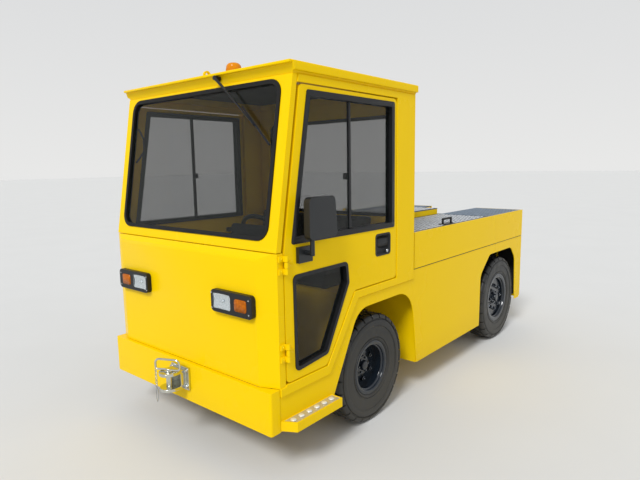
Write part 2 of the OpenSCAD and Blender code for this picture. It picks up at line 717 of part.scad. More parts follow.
// Fixed tread plate behind the lid, cut round the sight notch
module deck_plate() color(alloy) {
    along_z(deck_z - tread_t, deck_z) polygon([[-hood_x, lid_y1 + 6], [hood_x, lid_y1 + 6],
        [hood_x, plate_end], [notch_hw, plate_end], [notch_hw, notch_y], [-notch_hw, notch_y],
        [-notch_hw, plate_end], [-hood_x, plate_end]]);
}

// Battery lid of tread plate with hinge straps; a second sheet covers the tunnel
module battery_lid() color(alloy) {
    difference() {
        union() {
            box(-hood_x + 8, hood_x - 6, lid_y0, lid_y1, deck_z - tread_t, deck_z);
            for (y = [lid_y0 + 120, lid_y0 + lid_l / 2, lid_y1 - 120]) {
                bar_y(lid_axis_x, y - 24, y + 24, lid_axis_z, 9);
                box(lid_axis_x, lid_axis_x + 46, y - 24, y + 24, lid_axis_z - 9, lid_axis_z - 3);
                box(lid_axis_x + 18, lid_axis_x + 46, y - 24, y + 24, deck_z - 2, lid_axis_z - 4);
            }
            for (y = [lid_y0 + 60, lid_y0 + lid_l / 2, lid_y1 - 66]) {
                box(-hood_x + 60, hood_x - 60, y, y + 6, deck_z - tread_t - 30, deck_z - tread_t + 1);
            }
        }
        bar_y(lid_axis_x, lid_y0, lid_y1, lid_axis_z, hinge_r + run_gap);
    }
    box(-tunnel_hw, tunnel_hw, lid_y0, lid_y1, deck_z + tunnel_h, deck_z + tunnel_h + 6);
}
module lid_tunnel() color(yellow) {
    difference() {
        box(-tunnel_hw, tunnel_hw, lid_y0, lid_y1, deck_z, deck_z + tunnel_h);
        box(6 - tunnel_hw, tunnel_hw - 6, lid_y0 + 6, lid_y1 - 6, deck_z - 1, deck_z + tunnel_h - 6);
    }
}
// Grab handle near the left edge of the lid
handle_x = hood_x - 45;
handle_y = lid_y0 + 562;
module lid_handle() color(black) {
    for (y = [handle_y - handle_hl, handle_y + handle_hl]) {
        bar_z(handle_x, y, deck_z, deck_z + handle_h, 8);
        bar_z(handle_x, y, deck_z, deck_z + 5, 14);
        translate([handle_x, y, deck_z + handle_h]) sphere(r = 8);
    }
    bar_y(handle_x, handle_y - handle_hl, handle_y + handle_hl, deck_z + handle_h, 8);
}

// Traction battery as one plain block on the bearers
module battery() color("#3A3F45") {
    battery_hw = plate_x - battery_side;
    box(-battery_hw, battery_hw, bulkhead_y + 40, box_rear_y - 36, skirt_z + bearer_h,
        deck_z - battery_drop);
}

// Front axle beam with an eye at each end for the kingpin
module front_axle() color(black) {
    difference() {
        union() {
            box(-kingpin_x, kingpin_x, -35, 35, axle_z - 38, axle_z + 32);
            pair() bar_z(kingpin_x, 0, axle_z - 48, axle_z + 48, 36);
        }
        pair() bar_z(kingpin_x, 0, axle_z - 90, axle_z + 90, kingpin_r + run_gap);
    }
}

// Three curved leaves on each side with eyes and pins at the hangers
module leaf_springs() color(black) {
    seat = axle_z + 32;
    r0 = 3200;
    pair() {
        for (k = [0:2]) {
            intersection() {
                difference() {
                    bar_x(rail_in + 7, rail_out - 7, 0, seat + r0, r0 - k * 10, $fn = 96);
                    bar_x(rail_in + 6, rail_out - 6, 0, seat + r0, r0 - k * 10 - 10, $fn = 96);
                }
                box(rail_in, rail_out, -spring_hl * (k + 2) / 4, spring_hl * (k + 2) / 4,
                    seat - 5, seat + 120);
            }
        }
        for (y = [-spring_hl, spring_hl]) {
            bar_x(rail_in + 7, rail_out - 7, y, rail_z - 22, 15);
            bar_x(rail_in - 5, rail_out + 5, y, rail_z - 22, 8);
        }
    }
}

// Drive axle with differential, motor, saddles under the rails and wheel spindles
module drive_axle() color(black) {
    y = wheelbase;
    axle_hw = wheel_x - 102;
    z = rear_axle_z;
    bar_x(-axle_hw, axle_hw, y, z, 55);
    bar_x(-110, 110, y, z, 109);
    bar_y(0, box_rear_y + 30, y, z, 90);
    bar_y(0, box_rear_y + 60, y - 170, z, 108);
    pair() {
        box(rail_in, rail_out, y - 60, y + 60, z, rail_z);
        bar_x(axle_hw, axle_hw + 12, y, z, 140);
        bar_x(axle_hw, spindle_end(rear_dish), y, z, spindle_r);
    }
}

// Steering knuckle: fork round the axle eye, kingpin, brake plate, spindle and arm
module knuckle() {
    for (z = [axle_z - 76, axle_z + 52]) {
        bar_z(kingpin_x, 0, z, z + 24, 36);
        box(kingpin_x, kingpin_x + 72, -36, 36, z, z + 24);
    }
    box(kingpin_x + 44, kingpin_x + 72, -36, 36, axle_z - 76, axle_z + 76);
    bar_z(kingpin_x, 0, axle_z - 82, axle_z + 82, kingpin_r);
    bar_x(kingpin_x + 66, kingpin_x + 76, 0, axle_z, 120);
    bar_x(kingpin_x + 60, spindle_end(front_dish), 0, axle_z, spindle_r);
    box(kingpin_x - 17, kingpin_x + 17, 0, arm_l, axle_z - 76, axle_z - 52);
    bar_z(kingpin_x, arm_l, axle_z - 76, axle_z - 52, 20);
    bar_z(kingpin_x, arm_l, axle_z - 60, axle_z - 14, 8);
}
module knuckle_left() color(black) knuckle();
module knuckle_right() color(black) mirror([1, 0, 0]) knuckle();
module tie_rod() color(steel) {
    z = axle_z - 33;
    difference() {
        union() {
            bar_x(-kingpin_x, kingpin_x, arm_l, z, 11);
            pair() bar_z(kingpin_x, arm_l, z - 13, z + 13, 18);
        }
        pair() bar_z(kingpin_x, arm_l, z - 40, z + 40, 8 + run_gap);
    }
}

// Door skin with both windows and the handle pocket cut out, and its hinge halves
pull_pts = rect(door_rear - 230, door_rear - 66, seam_z - 135, seam_z);
module door() {
    along_x(door_x0, door_x1) difference() {
        polygon(rounded(door_pts, [22, 40, 40, 30, 30, 22, 0]));
        polygon(rounded(sash_pts, sash_r));
        polygon(rounded(foot_pts, 30));
        polygon(rounded(pull_pts, 22));
    }
    along_x(door_x0, door_x1 - 18) polygon(rounded(pull_pts, 22));
    difference() {
        for (z = hinge_zs) {
            bar_z(hinge_x, hinge_y, z + 30, z + 60, 10);
            box(door_x1 - 2, hinge_x, hinge_y, hinge_y + 12, z + 30, z + 60);
            box(door_x1 - 2, door_x1 + 6, hinge_y, hinge_y + 52, z + 30, z + 60);
        }
        for (z = hinge_zs) bar_z(hinge_x, hinge_y, z, z + hinge_h, hinge_r + run_gap);
    }
}
// Black sash of the sliding window, rubber of the foot window, and the pull
module door_trim() {
    inner = grow(sash_pts, -sash_w);
    along_x(door_x0 - 4, door_x1 + 4) {
        difference() {
            polygon(rounded(sash_pts, sash_r));
            polygon(rounded(inner, pane_r));
        }
        intersection() {
            polygon(rounded(inner, pane_r));
            polygon(rect(divider_y - divider_hw, divider_y + divider_hw, seam_z, side_top));
        }
    }
    along_x(door_x0 - 4, door_x1 + 4) difference() {
        polygon(rounded(foot_pts, 30));
        polygon(rounded(grow(foot_pts, -foot_rubber), 16));
    }
    difference() {
        along_x(door_x1 - 18, door_x1 + 2) polygon(rounded(pull_pts, 22));
        along_x(door_x1 - 12, door_x1 + 3) polygon(rounded(grow(pull_pts, -12), 14));
    }
    along_x(door_x1 - 14, door_x1 - 2)
        polygon(rounded(rect(door_rear - 206, door_rear - 90, seam_z - 78, seam_z - 30), 8));
}
module door_glass() {
    x = door_x0 + 16;
    along_x(x, x + glass_t) difference() {
        polygon(rounded(grow(sash_pts, -sash_w), pane_r));
        polygon(rect(divider_y - divider_hw, divider_y + divider_hw, seam_z, side_top));
    }
    along_x(x, x + glass_t) polygon(rounded(grow(foot_pts, -foot_rubber), 16));
}
module door_left() color(yellow) door();
module door_left_trim() color(black) door_trim();
module door_left_glass() color(glass, 0.4) door_glass();
module door_right() color(yellow) mirror([1, 0, 0]) door();
module door_right_trim() color(black) mirror([1, 0, 0]) door_trim();
module door_right_glass() color(glass, 0.4) mirror([1, 0, 0]) door_glass();

// Mirror on the left door: foot, arm and head
module mirror_arm() color(black) {
    y = door_front + 140;
    box(door_x1, door_x1 + 20, y - 55, y + 48, seam_z - 66, seam_z + 14);
    bar_x(door_x1 + 10, door_x1 + 60, y, seam_z - 18, 12);
    bar_z(door_x1 + 60, y, seam_z - 30, seam_z + 60, 12);
    along_x(door_x1 + 42, door_x1 + 80)
        polygon(rounded([[y - 40, seam_z + 50], [y + 178, seam_z + 50], [y + 160, seam_z + 258],
            [y - 38, seam_z + 258]], 28));
}

// Tyre with rounded shoulders; the tread is left to the looks
module tyre_body(r, b) {
    h = tyre_w / 2;
    rotate([0, 90, 0]) rotate_extrude($fn = 96) polygon(rounded([[b, -h + 27], [b + 34, -h + 4],
        [b + 70, -h], [r - 46, -h], [r - 6, -h + 14], [r, 0], [r - 6, h - 14], [r - 46, h],
        [b + 70, h], [b + 34, h - 4], [b, h - 27]], [4, 20, 40, 30, 16, 0, 16, 30, 40, 20, 4], 4));
}
// Rim: barrel with two flanges, a disc set in by the dish, and the hub
module rim_body(b, dish, studs, ring_r) {
    f = rim_f;
    rotate([0, 90, 0]) difference() {
        union() {
            rotate_extrude($fn = 96) polygon([[b - 0.3, -f], [b - 0.3, f - 6], [b - 0.3, f],
                [b + 8, f], [b + 8, f + 5], [b - 9, f + 5], [b - 9, -f - 5], [b - 0.3, -f - 5]]);
            translate([0, 0, f - dish]) cylinder(r = b - 4, h = 10, $fn = 96);
            translate([0, 0, f - dish - 26]) cylinder(r = hub_r, h = 46);
            for (k = [0:studs - 1]) rotate([0, 0, k * 360 / studs])
                translate([ring_r, 0, f - dish + 9]) cylinder(r = 13, h = 16, $fn = 6);
        }
        translate([0, 0, -200]) cylinder(r = spindle_r + run_gap, h = 200 + f - dish + 8);
    }
}
module front_wheel(s) {
    translate([s * wheel_x, 0, axle_z]) mirror([s < 0 ? 1 : 0, 0, 0]) children();
}
module rear_wheel(s) {
    translate([s * wheel_x, wheelbase, rear_axle_z]) mirror([s < 0 ? 1 : 0, 0, 0]) children();
}
module front_tyre() color(rubber) tyre_body(tyre_d / 2, rim_d / 2);
module rear_tyre() color(rubber) tyre_body(rear_tyre_d / 2, rear_rim_d / 2);
module front_rim() color(black) rim_body(rim_d / 2, front_dish, 6, stud_r);
module rear_rim() color(black) rim_body(rear_rim_d / 2, rear_dish, 8, rear_stud_r);
module tyre_front_left() front_wheel(1) front_tyre();
module rim_front_left() front_wheel(1) front_rim();
module tyre_front_right() front_wheel(-1) front_tyre();
module rim_front_right() front_wheel(-1) front_rim();
module tyre_rear_left() rear_wheel(1) rear_tyre();
module rim_rear_left() rear_wheel(1) rear_rim();
module tyre_rear_right() rear_wheel(-1) rear_tyre();
module rim_rear_right() rear_wheel(-1) rear_rim();

// Stations to the shared frame, whose origin is under the middle of the vehicle
module placed() {
    translate([0, -origin_y, 0]) children();
}
placed() chassis_frame();
placed() side_plates();
placed() box_walls();
placed() rear_wheelhouses();
placed() rear_plate();
placed() sight_trough();
placed() front_bumper();
placed() front_panel();
placed() lamp_housings();
placed() clear_lenses();
placed() amber_lenses();
placed() red_lenses();
placed() hitch_jaws();
placed() hitch_pins();
placed() windscreen_frame();
placed() cab_sides();
placed() cab_rear_wall();
placed() roof();
placed() cab_gaskets();
placed() cab_glass();
placed() wiper();
placed() cab_floor();
placed() seats();
placed() dashboard();
placed() steering_wheel();
placed() steps();
placed() step_treads();
placed() deck_hood();
placed() deck_plate();
placed() battery_lid();
placed() lid_tunnel();
placed() lid_handle();
placed() battery();
placed() front_axle();
placed() leaf_springs();
placed() drive_axle();
placed() knuckle_left();
placed() knuckle_right();
placed() tie_rod();
placed() door_left();
placed() door_left_trim();
placed() door_left_glass();
placed() mirror_arm();  // mirror
placed() door_right();
placed() door_right_trim();
placed() door_right_glass();
placed() tyre_front_left();
placed() rim_front_left();
placed() tyre_front_right();
placed() rim_front_right();
placed() tyre_rear_left();
placed() rim_rear_left();
placed() tyre_rear_right();
placed() rim_rear_right();
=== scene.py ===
"""Looks of an electric tow tractor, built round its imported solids.

Every size below is a station in millimetres: x from the middle, y from the front axle, z from the floor.
"""

from __future__ import annotations

import logging
import math
from dataclasses import dataclass
from enum import Enum
from typing import Iterable, Self, Sequence

import bmesh
import bpy
from mathutils import Matrix, Vector

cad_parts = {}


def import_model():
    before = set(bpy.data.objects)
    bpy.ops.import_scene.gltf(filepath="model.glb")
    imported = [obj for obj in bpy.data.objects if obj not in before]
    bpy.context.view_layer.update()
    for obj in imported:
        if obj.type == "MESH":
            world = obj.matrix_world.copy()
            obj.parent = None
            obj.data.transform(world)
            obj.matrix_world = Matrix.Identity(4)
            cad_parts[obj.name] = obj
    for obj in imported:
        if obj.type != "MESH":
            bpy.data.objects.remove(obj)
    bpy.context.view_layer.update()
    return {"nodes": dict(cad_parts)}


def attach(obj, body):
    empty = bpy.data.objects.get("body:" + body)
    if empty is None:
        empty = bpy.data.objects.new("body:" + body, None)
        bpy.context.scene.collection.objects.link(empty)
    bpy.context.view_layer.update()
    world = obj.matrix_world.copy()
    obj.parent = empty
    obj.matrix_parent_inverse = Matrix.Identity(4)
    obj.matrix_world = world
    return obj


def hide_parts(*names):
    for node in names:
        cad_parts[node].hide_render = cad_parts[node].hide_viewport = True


LOG = logging.getLogger("tow_tractor")
MM = 0.001
AXLE_STATION = 802.5  # the front axle lies this far in front of the frame's origin

# Stations shared by several sub-assemblies
BUMPER_Y = -900.0
SEAM_Z = 1170.0
SCREEN_Y = -837.0
RAKE = math.radians(9.6)
ROOF_Z = 2075.0
CAB_REAR = 440.0
REAR_Y = 2505.0
DECK_Z = 1130.0
WHEELBASE = 2000.0
TRACK = 602.0

SCREEN_OUT = Vector((0, -math.cos(RAKE), math.sin(RAKE)))
AXLE_WAY = (1, 0, 0)
UP = Vector((0, 0, 1))
ZERO = (0, 0, 0)

# Values that every finish has in common
DUST_SHARE = 0.55
GRAIN_STRENGTH = 0.6
COAT_ROUGHNESS = 0.12

Obj = bpy.types.Object
Tree = bpy.types.NodeTree
Socket = bpy.types.NodeSocket
Section = Sequence[tuple[float, float]]


class Body(str, Enum):
    """The moving bodies that pieces ride on."""

    CHASSIS = "chassis"
    DOOR_LEFT = "door_left"
    DOOR_RIGHT = "door_right"
    LID = "battery_lid"
    WHEEL_FRONT_LEFT = "wheel_front_left"
    WHEEL_FRONT_RIGHT = "wheel_front_right"
    WHEEL_REAR_LEFT = "wheel_rear_left"
    WHEEL_REAR_RIGHT = "wheel_rear_right"
    STEERING_WHEEL = "steering_wheel"


class Slot(str, Enum):
    """The material slots."""

    YELLOW = "yellow_paint"
    BLACK = "black_paint"
    PLASTIC = "black_plastic"
    RUBBER = "window_rubber"
    TYRE = "tyre_rubber"
    ZINC = "galvanised_steel"
    TREAD = "tread_plate"
    GLASS = "window_glass"
    CLEAR = "clear_lens"
    AMBER = "amber_lens"
    RED = "red_lens"
    VINYL = "seat_vinyl"
    BATTERY = "battery_case"


class Side(Enum):
    """Left or right of the vehicle, as the sign of x."""

    LEFT = 1
    RIGHT = -1


def at(x: float, y: float, z: float) -> Vector:
    """Station in millimetres to a point of the frame in metres."""
    return Vector((x, y - AXLE_STATION, z)) * MM


def mm(x: float, y: float, z: float) -> Vector:
    """Step in millimetres to a vector in metres."""
    return Vector((x, y, z)) * MM


def facing(spot: Vector, way: Vector) -> Matrix:
    """Place at a spot, its z axis turned to point along a direction."""
    return Matrix.Translation(spot) @ way.to_track_quat("Z", "Y").to_matrix().to_4x4()


def per_mm(size: float) -> float:
    """Texture scale on Object coordinates for a feature of that size in millimetres."""
    return 1.0 / (size * MM)


def linear(colour: str) -> tuple[float, float, float, float]:
    """sRGB hex to a linear colour.

    Args:
        colour: six hex digits after a hash sign.

    Returns:
        Linear red, green and blue with full alpha.
    """
    parts = (int(colour[i : i + 2], 16) / 255 for i in (1, 3, 5))
    rgb = [c / 12.92 if c <= 0.04045 else ((c + 0.055) / 1.055) ** 2.4 for c in parts]
    return (rgb[0], rgb[1], rgb[2], 1.0)


def add(tree: Tree, kind: str, inputs: dict | None = None, **settings: object) -> bpy.types.Node:
    """Adds a node with its settings, values and links.

    Args:
        tree: the node tree.
        kind: the node's type name.
        inputs: socket name or number to a value, or to an output socket to link from.
        settings: attributes of the node.

    Returns:
        The new node.
    """
    node = tree.nodes.new(kind)
    for name, value in settings.items():
        setattr(node, name, value)
    for socket, value in (inputs or {}).items():
        if isinstance(value, Socket):
            tree.links.new(value, node.inputs[socket])
        else:
            node.inputs[socket].default_value = value
    return node


@dataclass(frozen=True)
class Finish:
    """A named procedural material: a shader with colour, roughness and relief from noise.

    The speckle mixes two tones, the grain lifts the surface, and dust settles low on the vehicle.
    """

    name: str
    slot: Slot
    colour: str
    shade: str
    roughness: tuple[float, float]
    patch_mm: float
    grain_mm: float
    grain_um: float
    metallic: float = 0.0
    ior: float = 1.5
    coat: float = 0.0
    alpha: float = 1.0
    dust: str = ""
    dust_top: float = 0.0
    sheen: float = 0.0
    cells: bool = False
    glow: float = 0.0

    def material(self) -> bpy.types.Material:
        """The material, made on its first use."""
        return bpy.data.materials.get(self.name) or self._build()

    def _build(self) -> bpy.types.Material:
        """Builds the node tree.

        Returns:
            The new material.
        """
        made = bpy.data.materials.new(self.name)
        made.use_nodes = True
        tree = made.node_tree
        tree.nodes.clear()
        place = add(tree, "ShaderNodeTexCoord").outputs["Object"]
        patches = add(tree, "ShaderNodeTexNoise", {
            "Vector": place, "Scale": per_mm(self.patch_mm), "Detail": 4.0, "Roughness": 0.6}).outputs["Fac"]
        tone = add(tree, "ShaderNodeMix",
                   {"Factor": patches, "A": linear(self.colour), "B": linear(self.shade)},
                   data_type="RGBA").outputs["Result"]
        rough = add(tree, "ShaderNodeMapRange", {
            "Value": patches, "From Min": 0.3, "From Max": 0.7, "To Min": self.roughness[0],
            "To Max": self.roughness[1]}).outputs["Result"]
        shader = add(tree, "ShaderNodeBsdfPrincipled", {
            "Base Color": self._dusted(tree, place, tone, patches), "Roughness": rough,
            "Metallic": self.metallic, "IOR": self.ior, "Coat Weight": self.coat,
            "Coat Roughness": COAT_ROUGHNESS, "Alpha": self.alpha, "Sheen Weight": self.sheen,
            "Normal": self._relief(tree, place)})
        if self.glow > 0:
            shader.inputs["Emission Color"].default_value = linear(self.colour)
            shader.inputs["Emission Strength"].default_value = self.glow
        add(tree, "ShaderNodeOutputMaterial", {"Surface": shader.outputs["BSDF"]})
        return made

    def _dusted(self, tree: Tree, place: Socket, tone: Socket, patches: Socket) -> Socket:
        """Mixes road dust into the colour near the ground.

        Args:
            tree: the node tree.
            place: Object coordinates.
            tone: the clean colour.
            patches: noise that breaks the dust up.

        Returns:
            The colour socket to use.
        """
        if not self.dust:
            return tone
        height = add(tree, "ShaderNodeSeparateXYZ", {"Vector": place}).outputs["Z"]
        low = add(tree, "ShaderNodeMapRange", {"Value": height, "From Min": self.dust_top, "From Max": 0.0,
                                               "To Min": 0.0, "To Max": DUST_SHARE})
        broken = add(tree, "ShaderNodeMath", {0: low.outputs["Result"], 1: patches}, operation="MULTIPLY")
        mixed = add(tree, "ShaderNodeMix",
                    {"Factor": broken.outputs["Value"], "A": tone, "B": linear(self.dust)},
                    data_type="RGBA")
        return mixed.outputs["Result"]

    def _relief(self, tree: Tree, place: Socket) -> Socket:
        """Fine surface relief.

        Args:
            tree: the node tree.
            place: Object coordinates.

        Returns:
            The bump node's normal socket.
        """
        grain = {"Vector": place, "Scale": per_mm(self.grain_mm)}
        if self.cells:
            height = add(tree, "ShaderNodeTexVoronoi", grain, feature="DISTANCE_TO_EDGE").outputs["Distance"]
        else:
            height = add(tree, "ShaderNodeTexNoise", grain | {"Detail": 2.0}).outputs["Fac"]
        bump = add(tree, "ShaderNodeBump", {"Height": height, "Strength": GRAIN_STRENGTH,
                                            "Distance": self.grain_um * 1e-6})
        return bump.outputs["Normal"]


# Two-pack enamel sprayed on folded sheet: a full gloss with a faint orange peel, dusty near the road.
# The real peel is about 2 mm across; it is drawn at 9 mm so that it shows.
ENAMEL = Finish("sprayed_enamel_yellow", Slot.YELLOW, "#F0C904", "#ECC403", (0.22, 0.3), 900, 9, 40,
                ior=1.14, coat=0.04, dust="#B8952F", dust_top=0.4)
# Chassis black brushed and sprayed on hot-rolled steel: satin, with dust in the low places.
CHASSIS_BLACK = Finish("chassis_black_paint", Slot.BLACK, "#17181A", "#212224", (0.42, 0.6), 160, 5, 80,
                       dust="#5E564A", dust_top=0.5)
# Stoved wheel enamel: deep blue-black with the gloss of a wiped rim.
WHEEL_BLACK = Finish("stoved_wheel_black", Slot.BLACK, "#12181F", "#19212A", (0.16, 0.26), 120, 6, 40,
                     ior=1.42, coat=0.35)
# Injection-moulded ABS: spark-eroded grain that breaks up the highlight.
ABS = Finish("moulded_abs_black", Slot.PLASTIC, "#101113", "#17181B", (0.36, 0.5), 90, 2.2, 90, ior=1.4)
# The same moulding in a slightly lighter grey, as on the mirror's shell.
ABS_GREYED = Finish("moulded_abs_greyed", Slot.PLASTIC, "#14171A", "#1B1E21", (0.34, 0.48), 90, 2.2, 110)
# Extruded EPDM: dead matt with a faint bloom.
EPDM = Finish("extruded_epdm", Slot.RUBBER, "#0C0C0C", "#131313", (0.5, 0.66), 60, 3, 60, ior=1.36)
# Vulcanised tyre rubber: a dull sheen, greyed by dust where it meets the road.
TYRE_RUBBER = Finish("vulcanised_tyre_rubber", Slot.TYRE, "#0C0D0D", "#151615", (0.36, 0.54), 70, 3, 110,
                     dust="#565144", dust_top=0.6)
# Bright zinc plate on cast steel: a soft mirror with a faint straw tint in patches.
ZINC = Finish("bright_zinc_plate", Slot.ZINC, "#DCE1E4", "#B9B496", (0.12, 0.26), 34, 14, 50, metallic=1.0)
# Galvanised step plate: a brighter, coarser zinc, with a painted warm reflection of the yellow paint round
# it.
GALVANISED = Finish("galvanised_step_plate", Slot.ZINC, "#D6D0BC", "#C3BBA0", (0.3, 0.45), 18, 6, 70,
                    metallic=0.55)
# Mill-finish aluminium sheet between the raised bars, toned a dark blue-grey.
TREAD_PLATE = Finish("tread_plate_aluminium", Slot.TREAD, "#4A5866", "#3C4855", (0.4, 0.54), 55, 3, 40,
                     metallic=0.45)
# The raised bars themselves, painted near white: a painted highlight on the metal.
TREAD_LIT = Finish("tread_bars_painted_highlight", Slot.TREAD, "#F6F7F8", "#E6EAED", (0.24, 0.36), 40, 3, 30,
                    metallic=0.5)
# The same bars on the fixed deck, in painted shade: a darker blue-grey.
TREAD_SHADED = Finish("tread_bars_painted_shade", Slot.TREAD, "#8C9DB0", "#7A8B9E", (0.36, 0.5), 40, 3, 30,
                    metallic=0.45)
# Bright zinc-plated screws and the ground steel of pins.
BRIGHT_STEEL = Finish("bright_plated_steel", Slot.ZINC, "#CBCED0", "#AEB2B6", (0.18, 0.3), 20, 2, 20,
                      metallic=1.0)
# Phosphated wheel nuts: dark oiled steel that glints at its edges.
PHOSPHATED = Finish("phosphated_nut_steel", Slot.BLACK, "#6A6F76", "#4A4E54", (0.16, 0.28), 20, 2, 20,
                    metallic=1.0)
# Vacuum-metallised reflector behind a lens.
REFLECTOR = Finish("metallised_reflector", Slot.CLEAR, "#F1F4F6", "#E4E9EC", (0.06, 0.14), 40, 5, 20,
                   metallic=1.0)
# Toughened float glass, tinted dark to paint the shade inside the cab behind it.
WINDOW_GLASS = Finish("toughened_window_glass_shade_tint", Slot.GLASS, "#0A100E", "#0F1613", (0.01, 0.03), 500, 40, 4,
                      alpha=0.34)
# Pressed lamp glass.
LAMP_GLASS = Finish("pressed_lamp_glass", Slot.CLEAR, "#B4BFC2", "#A5B1B4", (0.03, 0.07), 60, 8, 30,
                    alpha=0.14, ior=1.6)
# Moulded acrylic lenses, dyed through, with prisms on their backs. On the amber panes the dark patches of
# the speckle are painted reflections of the prisms.
AMBER_LENS = Finish("amber_acrylic_painted_reflections", Slot.AMBER, "#D6760A", "#6E2E03", (0.1, 0.2), 14, 9, 420, ior=1.22,
                    coat=0.05, cells=True)
BEACON_DOME = Finish("amber_beacon_acrylic", Slot.AMBER, "#D98A06", "#C67604", (0.12, 0.22), 60, 9, 200,
                     ior=1.22, coat=0.1, cells=True, glow=0.02)
RED_LENS = Finish("red_acrylic", Slot.RED, "#A81410", "#8A0D0B", (0.08, 0.16), 30, 7, 300, coat=0.5,
                  cells=True, glow=0.02)
# Embossed seat vinyl: pebble grain about 3 mm across with a soft sheen.
VINYL = Finish("embossed_seat_vinyl", Slot.VINYL, "#1E2023", "#26282B", (0.46, 0.6), 80, 3.2, 160,
               cells=True, sheen=0.15)
# Rubber matting and felt: no gloss at all.
MATTING = Finish("floor_matting_rubber", Slot.RUBBER, "#1B1B1B", "#242322", (0.7, 0.85), 90, 4, 120)
# Acid-proof battery enamel: a dull slate.
BATTERY_ENAMEL = Finish("battery_case_enamel", Slot.BATTERY, "#2B3036", "#353B42", (0.4, 0.55), 150, 6, 60)
# Moulded polypropylene of the cell lids and their plugs: waxy, half gloss.
CELL_LID = Finish("moulded_polypropylene_grey", Slot.BATTERY, "#4A4F55", "#545A60", (0.36, 0.5), 120, 4, 50)
CELL_PLUG = Finish("moulded_polypropylene_yellow", Slot.BATTERY, "#C9A51E", "#B89418",
                   (0.34, 0.46), 60, 4, 40)
# Silvered mirror: a clean reflection.
SILVERED = Finish("silvered_mirror_glass", Slot.GLASS, "#DDE3E6", "#D3DADD", (0.02, 0.04), 300, 50, 2,
                  metallic=1.0)
# White print on the gauges: flat and chalky.
DIAL_WHITE = Finish("dial_print_white", Slot.PLASTIC, "#E5E5DE", "#D9D9D2", (0.5, 0.6), 30, 3, 10)


@dataclass(frozen=True)
class Wheel:
    """One road wheel: its body, where it stands, its tyre, its disc, its nuts and its rim's lip."""

    body: Body
    side: Side
    station: float
    radius: float
    bead: float
    disc: float
    nuts: int
    nut_ring: float
    lip: float

    @property
    def where(self) -> str:
        """Corner of the vehicle, such as front_left."""
        return self.body.value.removeprefix("wheel_")

    def point(self, out: float, away: float = 0.0, turn_deg: float = 0.0) -> Vector:
        """A point of the wheel.

        Args:
            out: distance outward from the tyre's middle plane.
            away: distance from the axle.
            turn_deg: turn about the axle, from upright toward the rear.

        Returns:
            The point in the frame.
        """
        a = math.radians(turn_deg)
        return at(self.side.value * (TRACK + out), self.station + away * math.sin(a),
                  self.radius + away * math.cos(a))


FRONT_WHEEL = (0.0, 338.0, 153.0, 7.0, 6, 88.0, 17.0)
REAR_WHEEL = (WHEELBASE, 370.0, 191.0, 51.0, 8, 106.0, 28.0)
WHEELS = (
    Wheel(Body.WHEEL_FRONT_LEFT, Side.LEFT, *FRONT_WHEEL),
    Wheel(Body.WHEEL_FRONT_RIGHT, Side.RIGHT, *FRONT_WHEEL),
    Wheel(Body.WHEEL_REAR_LEFT, Side.LEFT, *REAR_WHEEL),
    Wheel(Body.WHEEL_REAR_RIGHT, Side.RIGHT, *REAR_WHEEL))


